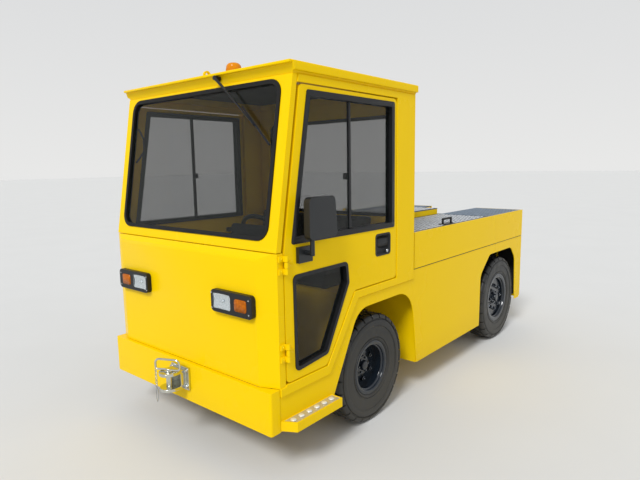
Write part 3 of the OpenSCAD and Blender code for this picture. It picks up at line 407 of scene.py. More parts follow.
class Shape:
    """A mesh in the making, with the moves that pieces are built from; each move returns the shape."""

    def __init__(self) -> None:
        """Opens an empty mesh."""
        self.bm = bmesh.new()

    def whole(self) -> list:
        """All vertices, edges and faces."""
        return [*self.bm.verts, *self.bm.edges, *self.bm.faces]

    def spin(self, geom: list, axis: Sequence[float], steps: int, angle: float = math.tau,
             centre: Sequence[float] = ZERO, shift: Sequence[float] = ZERO, copies: bool = False) -> Self:
        """Sweeps or copies geometry about an axis; a full turn is closed on itself."""
        bmesh.ops.spin(self.bm, geom=geom, cent=centre, axis=axis, dvec=shift, angle=angle, steps=steps,
                       use_merge=angle == math.tau, use_duplicate=copies)
        return self

    def bevel(self, verts: Iterable[bmesh.types.BMVert], width: float, segments: int = 2,
              sharp: float = 0.5) -> Self:
        """Rounds the sharp edges between the given vertices.

        Args:
            verts: vertices of one closed shape.
            width: bevel width in millimetres, or 0 for none.
            segments: faces across the bevel.
            sharp: least angle of a sharp edge, radians.

        Returns:
            The shape.
        """
        chosen = set(verts)
        if width > 0:
            edges = [e for e in self.bm.edges
                     if chosen.issuperset(e.verts) and e.is_manifold and e.calc_face_angle(0.0) > sharp]
            bmesh.ops.bevel(self.bm, geom=edges, offset=width * MM, offset_type="OFFSET", segments=segments,
                            profile=0.5, affect="EDGES", material=-1, clamp_overlap=True)
        return self

    def block(self, low: Sequence[float], high: Sequence[float], round_mm: float = 0.0,
              turn: Matrix | None = None) -> Self:
        """Adds a box between two stations.

        Args:
            low: lowest corner, millimetres.
            high: highest corner, millimetres.
            round_mm: bevel width, or 0 for none.
            turn: turn about the box's middle.

        Returns:
            The shape.
        """
        a, b = at(*low), at(*high)
        size = Matrix.Diagonal((*(b - a), 1.0))
        place = Matrix.Translation((a + b) / 2) @ (turn or Matrix.Identity(4)) @ size
        return self.bevel(bmesh.ops.create_cube(self.bm, size=1.0, matrix=place)["verts"], round_mm)

    def rod(self, start: Vector, end: Vector, radius: float, radius_end: float | None = None,
            sides: int = 24, round_mm: float = 0.0, segments: int = 2) -> Self:
        """Adds a round or many-sided bar between two points of the frame.

        Args:
            start: first end, metres.
            end: second end, metres.
            radius: radius at the start, millimetres.
            radius_end: radius at the end, or None for the same.
            sides: number of sides.
            round_mm: bevel width, or 0 for none.
            segments: faces across the bevel.

        Returns:
            The shape.
        """
        along = end - start
        made = bmesh.ops.create_cone(self.bm, cap_ends=True, cap_tris=False, segments=sides,
                                     radius1=radius * MM, depth=along.length,
                                     radius2=(radius if radius_end is None else radius_end) * MM,
                                     matrix=facing((start + end) / 2, along))
        return self.bevel(made["verts"], round_mm, segments=segments)

    def ring(self, centre: Vector, axis: Vector, major: float, minor: float, steps: int = 32,
             sides: int = 10, start: Vector | None = None) -> Self:
        """Adds a round ring of wire.

        Args:
            centre: middle of the ring, metres.
            axis: its axis.
            major: radius to the middle of the wire, millimetres.
            minor: radius of the wire, millimetres.
            steps: steps round the ring.
            sides: sides of the wire.
            start: direction from the middle to the wire's start.

        Returns:
            The shape.
        """
        axis = axis.normalized()
        out = (start or axis.orthogonal()).normalized()
        place = facing(centre + out * major * MM, axis.cross(out))
        made = bmesh.ops.create_circle(self.bm, cap_ends=False, segments=sides, radius=minor * MM,
                                       matrix=place)["verts"]
        edges = dict.fromkeys(e for v in made for e in v.link_edges)
        return self.spin([*made, *edges], axis, steps, centre=centre)

    def tube(self, path: Sequence[Vector], radius: float, sides: int = 10) -> Self:
        """Adds a bent bar by extruding a circle from point to point.

        Args:
            path: points of the frame, metres.
            radius: radius in millimetres.
            sides: sides of the bar.

        Returns:
            The shape.
        """
        ahead = (path[1] - path[0]).normalized()
        loop = bmesh.ops.create_circle(self.bm, cap_ends=True, segments=sides, radius=radius * MM,
                                       matrix=facing(path[0], ahead))["verts"]
        for k in range(1, len(path)):
            faces = [f for f in loop[0].link_faces if set(f.verts) == set(loop)]
            made = bmesh.ops.extrude_face_region(self.bm, geom=faces)["geom"]
            loop = [v for v in made if isinstance(v, bmesh.types.BMVert)]
            nxt = (path[min(k + 1, len(path) - 1)] - path[k - 1]).normalized()
            bmesh.ops.rotate(self.bm, verts=loop, cent=path[k - 1],
                             matrix=ahead.rotation_difference(nxt).to_matrix())
            bmesh.ops.translate(self.bm, verts=loop, vec=path[k] - path[k - 1])
            if k > 1:
                bmesh.ops.delete(self.bm, geom=[f for f in faces if f.is_valid], context="FACES_ONLY")
            ahead = nxt
        return self

    def bolt(self, seat: Vector, axis: Vector, across: float) -> Self:
        """Adds a bolt head on its washer.

        Args:
            seat: middle of the washer's seat, metres.
            axis: the way the head points.
            across: width of the head in millimetres.

        Returns:
            The shape.
        """
        washer, top = (seat + axis * across * share * MM for share in (0.12, 0.62))
        self.rod(seat, washer, across * 0.72, sides=20)
        return self.rod(washer, top, across * 0.56, sides=6, round_mm=across * 0.05, segments=1)

    def revolve(self, section: Section, sign: int, steps: int) -> Self:
        """Spins a closed section about the x axis.

        Args:
            section: points as (radius, distance from the middle), millimetres.
            sign: which way the distances go.
            steps: steps of the turn.

        Returns:
            The shape.
        """
        verts = [self.bm.verts.new((sign * x * MM, 0.0, q * MM)) for q, x in section]
        edges = [self.bm.edges.new(ends) for ends in zip(verts, verts[1:] + verts[:1])]
        return self.spin(verts + edges, AXLE_WAY, steps)

    def repeat(self, vec: Vector, count: int) -> Self:
        """Adds copies of everything along a line.

        Args:
            vec: step from copy to copy, metres.
            count: how many there are in the end.

        Returns:
            The shape.
        """
        if count > 1:
            self.spin(self.whole(), UP, count - 1, 0.0, shift=vec, copies=True)
        return self

    def turned(self, count: int, centre: Sequence[float], axis: Sequence[float]) -> Self:
        """Adds copies of everything evenly round an axis.

        Args:
            count: how many there are in the end.
            centre: a point of the axis, metres.
            axis: its direction.

        Returns:
            The shape.
        """
        turn = math.tau * (count - 1) / count
        return self.spin(self.whole(), axis, count - 1, turn, centre, copies=True)

    def mirror(self) -> Self:
        """Adds the mirror image of everything across the vehicle's middle.

        Returns:
            The shape.
        """
        copy = bmesh.ops.duplicate(self.bm, geom=self.whole())["geom"]
        bmesh.ops.scale(self.bm, vec=(-1, 1, 1),
                        verts=[v for v in copy if isinstance(v, bmesh.types.BMVert)])
        bmesh.ops.reverse_faces(self.bm, faces=[f for f in copy if isinstance(f, bmesh.types.BMFace)])
        return self

    def join(self, other: Shape) -> Self:
        """Takes over another shape's mesh.

        Args:
            other: the shape, used up.

        Returns:
            The shape.
        """
        part = bpy.data.meshes.new("part")
        other.bm.to_mesh(part)
        other.bm.free()
        self.bm.from_mesh(part)
        bpy.data.meshes.remove(part)
        return self

    def carry(self, node: Obj) -> Self:
        """Takes a copy of a CAD node's mesh, its loose triangles merged.

        Args:
            node: the node's object.

        Returns:
            The shape.
        """
        self.bm.from_mesh(node.data)
        bmesh.ops.remove_doubles(self.bm, verts=self.bm.verts[:], dist=0.02 * MM)
        return self


@dataclass
class Piece(Shape):
    """A new piece: its name, finish, body, the angle past which an edge stays sharp, a slot of its own."""

    name: str
    finish: Finish
    body: Body = Body.CHASSIS
    smooth_deg: float = 38.0
    slot: Slot | None = None

    def __post_init__(self) -> None:
        """Opens an empty mesh."""
        super().__init__()

    def done(self, *replaced: str, outward: bool = True) -> Obj:
        """Closes the mesh, dresses it and puts the piece in the scene.

        Args:
            replaced: CAD nodes that the piece stands for.
            outward: whether normals are turned outward.

        Returns:
            The new object.
        """
        if outward:
            bmesh.ops.recalc_face_normals(self.bm, faces=self.bm.faces[:])
        mesh = bpy.data.meshes.new(self.name)
        self.bm.to_mesh(mesh)
        self.bm.free()
        mesh.shade_smooth()
        mesh.set_sharp_from_angle(angle=math.radians(self.smooth_deg))
        mesh.materials.append(self.finish.material())
        obj = bpy.data.objects.new(self.name, mesh)
        bpy.context.scene.collection.objects.link(obj)
        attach(obj, self.body.value)
        if replaced:
            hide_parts(*replaced)
        LOG.info("%s on %s", obj.name, self.body.value)
        return obj


@dataclass
class Studio:
    """Pale floor, soft light and the camera at the photograph's view."""

    camera: tuple[float, float, float] = (2434.1, -2549.6, 1580.0)
    azimuth: float = 40.156
    down: float = 8.162
    roll: float = -0.897
    lens: float = 29.3
    floor_m: float = 90.0
    sky: float = 1.0
    key: float = 2.22
    fill: float = 0.12
    aim: tuple[float, float, float] = (0.0, 300.0, 1000.0)
    key_from: tuple[float, float, float] = (1500.0, -4300.0, 5600.0)
    fill_from: tuple[float, float, float] = (6200.0, 1400.0, 3600.0)
    sensor: float = 36.0
    reach_m: float = 200.0
    mottle_mm: float = 900.0
    floor_tones: tuple[str, str] = ("#D5D5D3", "#D0D0CE")
    sky_tones: tuple[str, str] = ("#E8E8E7", "#D0D2D5")

    def build(self) -> None:
        """Makes camera, floor, world and lamps."""
        self._camera()
        self._floor()
        self._light()
        bpy.context.scene.view_settings.view_transform = "Standard"

    def _camera(self) -> None:
        """Camera fitted to the photograph."""
        data = bpy.data.cameras.new("camera")
        data.lens, data.sensor_width = self.lens, self.sensor
        data.clip_end = self.reach_m
        cam = bpy.data.objects.new("camera", data)
        a, e, r = (math.radians(v) for v in (self.azimuth, self.down, self.roll))
        ahead = Vector((-math.sin(a) * math.cos(e), math.cos(a) * math.cos(e), -math.sin(e)))
        right = Vector((math.cos(a), math.sin(a), 0.0))
        up = right.cross(ahead)
        right, up = right * math.cos(r) + up * math.sin(r), up * math.cos(r) - right * math.sin(r)
        turn = Matrix((right, up, -ahead)).transposed().to_4x4()
        cam.matrix_world = Matrix.Translation(at(*self.camera)) @ turn
        bpy.context.scene.collection.objects.link(cam)
        bpy.context.scene.camera = cam

    def _floor(self) -> None:
        """Large pale floor with a soft mottle."""
        bm = bmesh.new()
        bmesh.ops.create_grid(bm, x_segments=1, y_segments=1, size=self.floor_m)
        mesh = bpy.data.meshes.new("floor")
        bm.to_mesh(mesh)
        bm.free()
        floor = bpy.data.objects.new("floor", mesh)
        bpy.context.scene.collection.objects.link(floor)
        made = bpy.data.materials.new("studio_floor_paint")
        made.use_nodes = True
        tree = made.node_tree
        tree.nodes.clear()
        place = add(tree, "ShaderNodeTexCoord").outputs["Object"]
        noise = add(tree, "ShaderNodeTexNoise",
                    {"Vector": place, "Scale": per_mm(self.mottle_mm), "Detail": 3.0})
        tone = add(tree, "ShaderNodeMix", {"Factor": noise.outputs["Fac"], "A": linear(self.floor_tones[0]),
                                           "B": linear(self.floor_tones[1])}, data_type="RGBA")
        shader = add(tree, "ShaderNodeBsdfPrincipled",
                     {"Base Color": tone.outputs["Result"], "Roughness": 0.85})
        add(tree, "ShaderNodeOutputMaterial", {"Surface": shader.outputs["BSDF"]})
        mesh.materials.append(made)

    def _light(self) -> None:
        """Even sky with a broad high key light in front and a weak fill on the left."""
        world = bpy.data.worlds.new("studio")
        bpy.context.scene.world = world
        world.use_nodes = True
        tree = world.node_tree
        tree.nodes.clear()
        place = add(tree, "ShaderNodeTexCoord").outputs["Generated"]
        height = add(tree, "ShaderNodeSeparateXYZ", {"Vector": place}).outputs["Z"]
        blend = add(tree, "ShaderNodeMapRange", {"Value": height, "From Min": 0.0, "From Max": 0.6})
        sky = add(tree, "ShaderNodeMix", {"Factor": blend.outputs["Result"], "A": linear(self.sky_tones[0]),
                                          "B": linear(self.sky_tones[1])}, data_type="RGBA")
        back = add(tree, "ShaderNodeBackground", {"Color": sky.outputs["Result"], "Strength": self.sky})
        add(tree, "ShaderNodeOutputWorld", {"Surface": back.outputs["Background"]})
        for name, place_mm, spread, power in (("key", self.key_from, 16.0, self.key),
                                              ("fill", self.fill_from, 28.0, self.fill)):
            data = bpy.data.lights.new(name, "SUN")
            data.angle, data.energy = math.radians(spread), power
            lamp = bpy.data.objects.new(name, data)
            spot = at(*place_mm)
            turn = (at(*self.aim) - spot).to_track_quat("-Z", "Y").to_matrix().to_4x4()
            lamp.matrix_world = Matrix.Translation(spot) @ turn
            bpy.context.scene.collection.objects.link(lamp)


@dataclass
class SheetMetal:
    """CAD nodes that stay, each given its finish; folded panels get rounded edges on a merged copy."""

    surround: float = 6.0
    divider: tuple[float, float] = (-236.0, 12.0)  # station and half width
    divider_zs: tuple[float, float] = (1230.0, 1914.0)
    pane_x: float = 697.0
    strip: float = 7.0
    sharp_deg: float = 32.0
    flat_deg: float = 0.6
    fold_deg: float = 40.0

    def build(self, nodes: dict[str, Obj]) -> None:
        """Dresses every carried-over node.

        Args:
            nodes: the frame's objects by node name.
        """
        panels = {
            "side_plates": 2.0, "front_bumper": 3.0, "front_panel": 3.0, "windscreen_frame": 3.0,
            "cab_sides": 3.0, "cab_rear_wall": 3.0, "roof": 2.0, "rear_plate": 2.5, "sight_trough": 2.0,
            "deck_hood": 2.0, "lid_tunnel": 3.0, "steps": 1.5, "door_left": 2.5, "door_right": 2.5}
        bodies = {"lid_tunnel": Body.LID, "door_left": Body.DOOR_LEFT, "door_right": Body.DOOR_RIGHT}
        for name, width in panels.items():
            self.soften(nodes[name], width, ENAMEL, bodies.get(name, Body.CHASSIS),
                        self.surround if name == "cab_sides" else 0.0)
        self.soften(nodes["hitch_jaws"], 3.0, ZINC)
        self.soften(nodes["mirror"], 12.0, ABS_GREYED, Body.DOOR_LEFT)
        self.soften(nodes["lamp_housings"], 3.0, ABS)
        self.soften(nodes["dashboard"], 6.0, ABS)
        for body in (Body.DOOR_LEFT, Body.DOOR_RIGHT):
            self.sash(nodes[body.value + "_trim"], body)
        self.lenses(nodes["amber_lenses"], "indicator_panes", False, AMBER_LENS)
        self.lenses(nodes["amber_lenses"], "beacon_dome", True, BEACON_DOME)
        for names, finish in (
                (("box_walls", "cab_floor"), ENAMEL),
                (("chassis_frame", "rear_wheelhouses", "front_axle", "leaf_springs", "drive_axle",
                  "knuckle_left", "knuckle_right"), CHASSIS_BLACK),
                (("rim_front_left", "rim_front_right", "rim_rear_left", "rim_rear_right"), WHEEL_BLACK),
                (("steering_wheel", "lid_handle"), ABS), (("cab_gaskets",), EPDM), (("tie_rod",), ZINC),
                (("deck_plate", "battery_lid"), TREAD_PLATE), (("step_treads",), GALVANISED),
                (("cab_glass", "door_left_glass", "door_right_glass"), WINDOW_GLASS),
                (("red_lenses",), RED_LENS), (("battery",), BATTERY_ENAMEL)):
            for name in names:
                for each in nodes[name].material_slots:
                    each.material = finish.material()

    def lenses(self, node: Obj, name: str, on_roof: bool, finish: Finish) -> None:
        """Carries over the amber lens on the roof, or the others.

        Args:
            node: the CAD node's object.
            name: the new piece's name.
            on_roof: whether the roof's lens is kept.
            finish: its finish.
        """
        piece = Piece(name, finish, smooth_deg=40.0).carry(node)
        other = [v for v in piece.bm.verts if (v.co.z > ROOF_Z * MM) != on_roof]
        bmesh.ops.delete(piece.bm, geom=other, context="VERTS")
        piece.done(node.name, outward=False)

    def sash(self, node: Obj, body: Body) -> None:
        """Carries over a door's trim with its window divider thinned to a strip round the pane's edge.

        Args:
            node: the CAD node's object.
            body: the door.
        """
        piece = Piece(node.name + "_slim", ABS, body, self.sharp_deg).carry(node)
        for z in self.divider_zs:
            bmesh.ops.bisect_plane(piece.bm, geom=piece.whole(), dist=1e-6, plane_co=at(0, 0, z),
                                   plane_no=UP)
        low, high = (at(0, self.divider[0], z) for z in self.divider_zs)
        for v in piece.bm.verts:
            if abs(v.co.y - low.y) < self.divider[1] * MM and low.z - MM < v.co.z < high.z + MM:
                depth = math.copysign(self.strip, abs(v.co.x) - self.pane_x * MM)
                v.co.x = math.copysign(self.pane_x + depth, v.co.x) * MM
        piece.done(node.name, outward=False)

    def soften(self, node: Obj, width: float, finish: Finish, body: Body = Body.CHASSIS,
               proud: float = 0.0) -> None:
        """Replaces a node by a merged copy with rounded edges.

        Args:
            node: the CAD node's object.
            width: bevel width in millimetres.
            finish: its finish.
            body: the body it rides on.
            proud: how far its outer sides are folded out.
        """
        piece = Piece(node.name + "_skin", finish, body, self.sharp_deg).carry(node)
        bmesh.ops.dissolve_limit(piece.bm, angle_limit=math.radians(self.flat_deg), verts=piece.bm.verts[:],
                                 edges=piece.bm.edges[:], use_dissolve_boundaries=False)
        edge = max(abs(v.co.x) for v in piece.bm.verts) - 0.5 * MM
        for sign in (1, -1):
            outer = [v for v in piece.bm.verts if sign * v.co.x > edge]
            bmesh.ops.translate(piece.bm, verts=outer, vec=mm(sign * proud, 0, 0))
        mod = piece.done(node.name, outward=False).modifiers.new("edge", "BEVEL")
        mod.width, mod.segments, mod.limit_method = width * MM, 2, "ANGLE"
        mod.angle_limit, mod.harden_normals, mod.use_clamp_overlap = math.radians(self.fold_deg), True, True


@dataclass
class Tyres:
    """Industrial tyres with a block tread, one on each wheel."""

    lugs: int = 25
    steps: int = 100
    tuck: float = 14.0
    shoulder_lug: tuple[float, float] = (0.87, 0.9)  # share of the pitch, lean in degrees
    crown_lug: tuple[float, float] = (0.8, 5.0)  # share of the pitch, lean in degrees
    chamfer: float = 1.6

    def build(self) -> None:
        """Makes the four tyres in place of the plain ones."""
        pitch = 360.0 / self.lugs
        for wheel in WHEELS:
            piece = Piece("block_tread_" + wheel.where, TYRE_RUBBER, wheel.body, 30.0)
            r = wheel.radius
            piece.revolve(self._section(r, wheel.bead + wheel.lip - self.tuck), 1, self.steps)
            shoulder = ((r - 16, 50), (r - 0.4, 50), (r - 0.8, 68), (r - 4, 80), (r - 10, 87),
                        (r - 18, 91.4), (r - 27, 93.6), (r - 30, 91), (r - 22, 82))
            crown = ((r - 16, 4), (r, 5), (r, 42), (r - 16, 44))
            for sign in (1, -1):
                start = pitch * 0.25 * (1 - sign)
                piece.join(self._blocks(shoulder, sign, pitch * self.shoulder_lug[0], start,
                                        self.shoulder_lug[1]))
                piece.join(self._blocks(crown, sign, pitch * self.crown_lug[0], start + pitch / 2,
                                        self.crown_lug[1]))
            place = Matrix.Translation(wheel.point(0)) @ Matrix.Diagonal((wheel.side.value, 1, 1, 1))
            bmesh.ops.transform(piece.bm, matrix=place, verts=piece.bm.verts[:])
            piece.done("tyre_" + wheel.where)

    def _section(self, r: float, b: float) -> Section:
        """Section of the carcass: beads, ribbed walls and the tread's base.

        Args:
            r: outside radius.
            b: bead radius.

        Returns:
            Its points as (radius, distance from the middle).
        """
        half = ((b + 0.2, 66), (b + 6, 70), (b + 14, 79), (b + 19, 85), (b + 24, 87.6), (b + 28, 87),
                (b + 30, 83.5), (b + 34, 83.5), (b + 37, 87.5), (r - 100, 90), (r - 78, 90.4),
                (r - 75, 94.6), (r - 69, 95.4), (r - 47, 95.2), (r - 41, 93.6), (r - 38.5, 88.6),
                (r - 34.5, 88.2), (r - 32, 91.6), (r - 24, 87), (r - 16, 78), (r - 13, 66),
                (r - 12, 40), (r - 11, 0))
        return [*half, *((q, -x) for q, x in reversed(half[:-1]))]

    def _blocks(self, outline: Section, sign: int, width: float, start: float, lean: float) -> Shape:
        """A ring of rubber blocks.

        Args:
            outline: section of a block as (radius, distance from the middle).
            sign: which half of the tread.
            width: angle across a block.
            start: angle of the first block.
            lean: turn of the block's outer end against its inner end.

        Returns:
            The ring, with the wheel's axle along x.
        """
        made = Shape()
        made.bm.faces.new([made.bm.verts.new((sign * x * MM, 0.0, r * MM)) for r, x in outline])
        made.spin(made.whole(), AXLE_WAY, 2, math.radians(width))
        inner, span = outline[0][1], outline[2][1] - outline[0][1]
        for v in made.bm.verts:
            turn = start + sign * lean * (abs(v.co.x) / MM - inner) / span
            v.co.rotate(Matrix.Rotation(math.radians(turn), 3, "X"))
        made.bevel(made.bm.verts, self.chamfer, segments=1, sharp=0.9)
        return made.turned(self.lugs, ZERO, AXLE_WAY)


@dataclass
class Hubs:
    """Grease caps, rim lips, wheel nuts, hub bolts and valve stems on the wheels."""

    hub_step: float = 10.0
    cap: tuple[float, float] = (33.0, 29.0)  # radius at its foot and top
    cap_out: float = 20.0
    bolts: int = 6
    bolt: float = 13.0
    lip_steps: int = 72
    bolt_ring: float = 47.0
    valve_in: float = 36.0
    valve_turn: float = -98.0

    def build(self) -> None:
        """Makes one hub dressing for each wheel."""
        for wheel in WHEELS:
            out = Vector((wheel.side.value, 0, 0))
            face = wheel.disc + self.hub_step
            cap = Piece("grease_cap_" + wheel.where, WHEEL_BLACK, wheel.body)
            cap.rod(wheel.point(face - 2), wheel.point(face + self.cap_out), *self.cap, sides=40, round_mm=5,
                    segments=3).done()
            self._flange(wheel)
            steel = Piece("wheel_nuts_" + wheel.where, PHOSPHATED, wheel.body)
            for k in range(wheel.nuts):
                self._nut(steel, wheel.point(wheel.disc, wheel.nut_ring, k * 360.0 / wheel.nuts), out * MM)
            for k in range(self.bolts):
                steel.bolt(wheel.point(face, self.bolt_ring, (k + 0.5) * 360.0 / self.bolts), out, self.bolt)
            stem = wheel.point(wheel.disc, wheel.bead - self.valve_in, self.valve_turn)
            steel.rod(stem - out * 2 * MM, stem + out * 36 * MM, 5.0, 4.0, sides=16)
            steel.rod(stem + out * 36 * MM, stem + out * 47 * MM, 5.4, sides=16).done()

    def _flange(self, wheel: Wheel) -> None:
        """Curled lips of the rim over the tyre's beads, with a ridge inside the outer one.

        Args:
            wheel: the wheel.
        """
        piece = Piece("rim_lips_" + wheel.where, WHEEL_BLACK, wheel.body, 50.0)
        b, e = wheel.bead, wheel.bead + wheel.lip
        lip = ((b - 9, 80.4), (b - 4, 82), (e - 9, 83.4), (e - 3, 82.4), (e, 79), (e - 2, 75.6),
               (e - 8, 74.6), (b, 72))
        ridge = ((b - 6, 57), (b - 18, 58), (b - 21, 62), (b - 19, 67), (b - 12, 70), (b - 10.5, 77))
        for sign in (1, -1):
            piece.revolve((ridge if sign == wheel.side.value else ((b - 9, 76),)) + lip, sign,
                          self.lip_steps)
        bmesh.ops.translate(piece.bm, verts=piece.bm.verts[:], vec=wheel.point(0))
        piece.done()

    def _nut(self, piece: Piece, seat: Vector, out: Vector) -> None:
        """A flanged nut with the end of its stud.

        Args:
            piece: the piece to add to.
            seat: middle of its seat.
            out: one millimetre the way it points.
        """
        piece.rod(seat - out, seat + out * 4, 19, 17, sides=24)
        piece.rod(seat, seat + out * 17, 15.2, sides=6, round_mm=1.5)
        piece.rod(seat + out * 16, seat + out * 25, 7.5, 6.5, sides=16, round_mm=1.2)


@dataclass
class FrontEnd:
    """Lamps and wiper at the front, and the fittings of both hitches."""

    lamp: tuple[float, float, float] = (453.0, -905.0, 900.0)
    pane: tuple[float, float] = (130.0, 78.0)
    flute: float = 11.0
    bowl: tuple[float, float, float, float] = (66.0, 40.0, 13.0,
                                               11.0)  # half width, half height, depth, rise
    bowl_share: float = 0.55
    bulb: float = 7.5
    plate: float = 16.0
    pin_out: float = 85.0
    bolt: float = 22.0
    hitch_z: float = 408.0
    bow_turn: tuple[float, float] = (0.906, 0.423)  # cosine and sine of the bow's turn
    chain_top: tuple[float, float, float] = (-75.0, -1020.0, 462.0)
    links: int = 9
    link_pitch: float = 12.0
    wiper: tuple[float, float, float] = (195.0, -702.0, 2038.0)

    def build(self) -> None:
        """Makes lamps, hitch fittings and wiper."""
        self._lamps()
        self._hitch()
        self._chain()
        self._wiper()

    def _grid(self, piece: Piece, across: int, up: int) -> Vector:
        """Upright grid over the headlamp's pane.

        Args:
            piece: the piece to add to.
            across: cells across.
            up: cells up.

        Returns:
            The pane's middle.
        """
        middle = at(self.lamp[0] - self.pane[0] / 2 - 6, self.lamp[1], self.lamp[2])
        place = Matrix.Translation(middle) @ Matrix.Rotation(math.radians(90), 4, "X") @ Matrix.Diagonal(
            (self.pane[0] * MM, self.pane[1] * MM, 1, 1))
        bmesh.ops.create_grid(piece.bm, x_segments=across, y_segments=up, size=0.5, matrix=place)
        return middle

    def _lamps(self) -> None:
        """Reflector, bulb cap and fluted glass of each headlamp, with the housings' screws."""
        bowl = Piece("lamp_reflectors", REFLECTOR, smooth_deg=60.0)
        middle = self._grid(bowl, 20, 14)
        wide, tall, deep, rise = self.bowl
        for v in bowl.bm.verts:
            u, w = (v.co.x - middle.x) / (wide * MM), (v.co.z - middle.z) / (tall * MM)
            v.co.y += (deep - rise * min(1.0, (u * u + w * w) * self.bowl_share)) * MM
        bmesh.ops.create_uvsphere(bowl.bm, u_segments=16, v_segments=10, radius=self.bulb * MM,
                                  matrix=Matrix.Translation(middle + mm(0, 8, 0)))
        bowl.mirror().done(outward=False)
        lens = Piece("fluted_lamp_glass", LAMP_GLASS, smooth_deg=70.0)
        self._grid(lens, 60, 4)
        for v in lens.bm.verts:
            v.co.y += (-2.4 + 1.5 * abs(math.sin((v.co.x - middle.x) / (self.flute * MM) * math.pi))) * MM
        lens.mirror()
        bmesh.ops.solidify(lens.bm, geom=lens.bm.faces[:], thickness=1.5 * MM)
        lens.done("clear_lenses")
        screws = Piece("lamp_screws", BRIGHT_STEEL)
        x, y, z = self.lamp
        for dx, dz in ((135, 36), (135, -36), (-146.5, 40), (-146.5, -40)):
            screws.rod(at(x + dx, y + 2, z + dz), at(x + dx, y - 3, z + dz), 5.0, 4.0, sides=20,
                       round_mm=0.8)
        screws.mirror().done()

    def _hitch(self) -> None:
        """Plate bolts and bowed pins of both hitches."""
        bolts = Piece("hitch_bolts", BRIGHT_STEEL)
        pins = Piece("bowed_hitch_pins", ZINC, smooth_deg=50.0)
        for end, out in ((BUMPER_Y, -1), (REAR_Y, 1)):
            for x in (-64, 64):
                for dz in (-46, 46):
                    bolts.bolt(at(x, end + out * self.plate, self.hitch_z + dz), Vector((0, out, 0)),
                               self.bolt)
            self._pin(pins, end + out * self.pin_out, out)
        bolts.done()
        pins.done("hitch_pins")

    def _pin(self, piece: Piece, y: float, out: int) -> None:
        """One pin with its collar and the bent bow that lifts it.

        Args:
            piece: the piece to add to.
            y: station of the pin.
            out: 1 at the rear, -1 at the front.
        """
        z0 = self.hitch_z
        piece.rod(at(0, y, z0 - 71), at(0, y, z0 + 69), 17, sides=32, round_mm=3)
        piece.rod(at(0, y, z0 + 53), at(0, y, z0 + 61), 25, sides=32, round_mm=2)
        path: list[Vector] = [at(12, y, z0 + 60)]
        for u, z, r, first in ((68, 60, 14, -90), (68, 119, 26, 0), (-82, 119, 26, 90), (-82, 60, 14, 180)):
            mu, mz = u - math.copysign(r, u), z + (r if first in (-90, 180) else -r)
            for step in range(6):
                a = math.radians(first + step * 18)
                du, dz = mu + r * math.cos(a), mz + r * math.sin(a)
                path.append(at(du * self.bow_turn[0], y - out * du * self.bow_turn[1], z0 + dz))
        piece.tube(path + [at(-12, y, z0 + 60)], 6, sides=12)

    def _chain(self) -> None:
        """Keeper chain of the front pin with its spring clip."""
        chain = Piece("keeper_chain", BRIGHT_STEEL, smooth_deg=60.0)
        top = at(*self.chain_top)
        for k in range(self.links):
            middle = top - mm(0, 0, k * self.link_pitch)
            side = Vector((1, 0, 0)) if k % 2 else Vector((0.3, 1, 0)).normalized()
            link = Shape().ring(middle, side.cross(UP), 5.4, 1.5, steps=16, sides=8, start=side)
            bmesh.ops.scale(link.bm, vec=(1, 1, 1.35), space=Matrix.Translation(-middle),
                            verts=link.bm.verts[:])
            chain.join(link)
        end = top - mm(0, 0, self.links * self.link_pitch)
        clip = ((1, 8), (-8, -12), (-7, -62), (1, -82), (11, -62), (12, -16), (3, 6))
        chain.tube([end + mm(x, 0, z) for x, z in clip], 2.0, sides=8).done()

    def _on_screen(self, x: float, z: float, off: float) -> Vector:
        """Point that many millimetres in front of the windscreen."""
        return at(x, SCREEN_Y + (z - SEAM_Z) * math.tan(RAKE), z) + SCREEN_OUT * off * MM

    def _wiper(self) -> None:
        """Motor spindle, sprung arm and rubber blade lying down the screen."""
        step = SCREEN_OUT * MM
        pivot = at(*self.wiper)
        knee, tip = self._on_screen(288, 1962, 37), self._on_screen(508, 1778, 25)
        high, low = self._on_screen(398, 1876, 15), self._on_screen(620, 1677, 15)
        arm = Piece("wiper_arm", ABS)
        arm.rod(pivot, pivot + step * 38, 15, 12, sides=24, round_mm=2)
        arm.rod(pivot + step * 34, knee, 9, 7, sides=8, round_mm=2)
        arm.rod(knee, tip, 5.5, 3.5, sides=8)
        arm.rod(tip, (high + low) / 2, 4.5, sides=8)
        arm.rod(high, low, 4.0, sides=8).done("wiper")
        blade = Piece("wiper_blade", EPDM)
        blade.rod(high - step * 7, low - step * 7, 3.8, sides=4)
        blade.rod(high - step * 12, low - step * 12, 1.5, sides=4).done()


